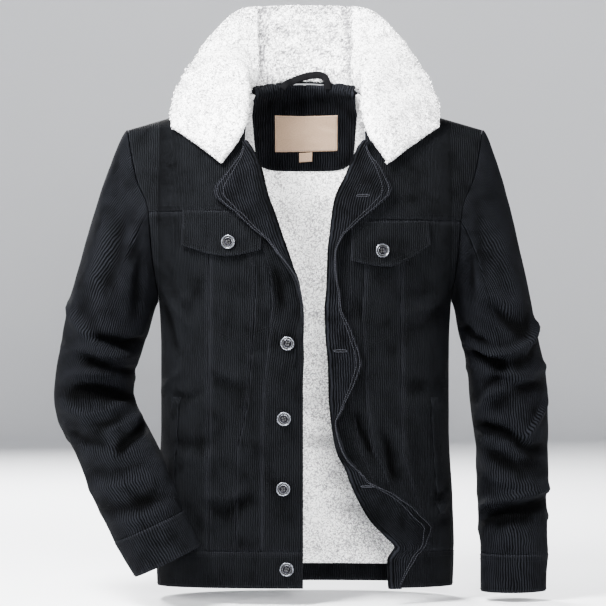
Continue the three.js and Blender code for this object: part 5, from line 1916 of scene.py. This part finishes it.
class Studio:
    """The plain pale floor, soft lights and the photograph's camera."""

    LIGHTS = (
        ("key", (-0.6, -0.8, 0.75), 150, 0.5),
        ("front", (0.2, -4.4, 0.3), 500, 0.8),
        ("rim_left", (-1.9, -0.3, 0.4), 45, 0.8),
        ("rim_right", (1.9, -0.3, 0.5), 55, 0.8),
        ("behind", (-0.8, 2.6, 1.5), 480, 0.8),
    )  # name, place in metres, watts, width in metres

    def build(self, floor: float) -> None:
        """Makes the stage with its floor at this height in metres."""
        paint = Finish("matt_painted_backdrop")
        cloud = paint.noise(paint.place, 1.5, 2.0)
        colour = paint.blend(cloud, linear("#dcdde0"), linear("#e4e5e8"))
        material = paint.finish(Base_Color=colour, Roughness=0.9)
        half, start, bend, rise = 9.0, 4.6, 1.6, 7.0  # half width, where it bends up, how softly, height
        profile = [(-half, floor), (start, floor)]
        profile += [
            (start + bend * math.sin(a), floor + bend * (1 - math.cos(a)))
            for a in np.linspace(0.1, math.pi / 2, 14)
        ]
        profile.append((start + bend, floor + rise))
        points = [(x * 1000, y * 1000, z * 1000) for y, z in profile for x in (-half, half)]
        faces = [(2 * i, 2 * i + 1, 2 * i + 3, 2 * i + 2) for i in range(len(profile) - 1)]
        stage = make_object("studio_floor", np.array(points), faces)
        stage.data.materials.append(material)
        stage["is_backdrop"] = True
        world = bpy.data.worlds.new("studio")
        bpy.context.scene.world = world
        world.use_nodes = True
        sky = world.node_tree.nodes["Background"].inputs
        sky["Color"].default_value = linear("#e9ebef")
        sky["Strength"].default_value = 0.34
        for name, place, watts, size in self.LIGHTS:
            self.light(name, place, watts, size)
        data = bpy.data.cameras.new("camera")
        data.lens, data.sensor_width = 176.0, 36.0
        data.clip_end = 30
        camera = bpy.data.objects.new("camera", data)
        camera.location = (-0.0027, -4.0, -0.281)
        camera.rotation_euler = (math.pi / 2, 0, 0)
        bpy.context.scene.collection.objects.link(camera)
        bpy.context.scene.camera = camera

    def light(self, name: str, place: tuple[float, float, float], power: float, size: float) -> None:
        """Adds one soft square light that faces the jacket's middle."""
        data = bpy.data.lights.new(name, "AREA")
        data.energy, data.size = power, size
        lamp = bpy.data.objects.new(name, data)
        lamp.location = place
        aim = Vector((0, 0, -0.3)) - Vector(place)
        lamp.rotation_euler = aim.to_track_quat("-Z", "Y").to_euler()
        bpy.context.scene.collection.objects.link(lamp)


def sewing_relief(torso: Torso, fronts: Sequence[Front]) -> None:
    """Adds the sunk lines and puckers of the sewn seams to the body's form."""
    for front in fronts:
        for which in (front.seam_a, front.seam_b):
            torso.sewing[False].append(Crease(front.seam_line(which, -606, front.edge.yoke), -1.2, 2.2, 0.35))
        yoke = front.edge.yoke
        torso.sewing[False].append(
            Crease([(front.s * 206, yoke), (front.s * front.seam_b(yoke), yoke)], -1.6, 2.0, 0.4)
        )
        band = [(front.s * x, -608) for x in (199, 130, 60, 22 if front.s < 0 else 115)]
        torso.sewing[False].append(Crease(band, -1.2, 3.0, 0.5))
    torso.sewing[True].append(Crease([(-206, -152), (206, -152)], -0.9, 2.6, 0.4))
    torso.sewing[True].append(Crease([(-200, -608), (200, -608)], -1.2, 3.0, 0.5))


def main() -> None:
    """Builds every piece in order."""
    logging.basicConfig(level=logging.INFO, format="%(name)s %(message)s")
    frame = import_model()
    LOG.info("%d CAD nodes", len(frame["nodes"]))
    low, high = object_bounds()
    Studio().build(float(low[2]) - 0.012)
    room = Workroom()
    stitches, curls = StitchTree(room.thread), CurlTree(room.sherpa)
    torso = Torso()
    fronts = [Front(torso, RIGHT_EDGE), Front(torso, LEFT_EDGE)]
    sewing_relief(torso, fronts)
    back = Back(torso)
    back.build()
    for front in fronts:
        front.build()
        front.make(room, stitches)
    back.make(room, stitches)
    for front in fronts:
        Sleeve(torso, front.edge.side, front.grid, back.grid).make(room, stitches)
    for index, (x, z) in enumerate([(-23, -334), (-27.5, -433), (-28.5, -525), (-24, -630)]):
        p, n = torso.cloth(np.array(float(x)), np.array(float(z)))
        make_button(room, stitches, f"button_front_{index + 1}", p + n * 0.6, n)
    Collar().make(room, curls)
    Neck([bpy.data.objects["cloth_lining_back"], bpy.data.objects["cloth_collar"]]).make(room, stitches)
    low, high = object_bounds()


if __name__ == "__main__":
    main()
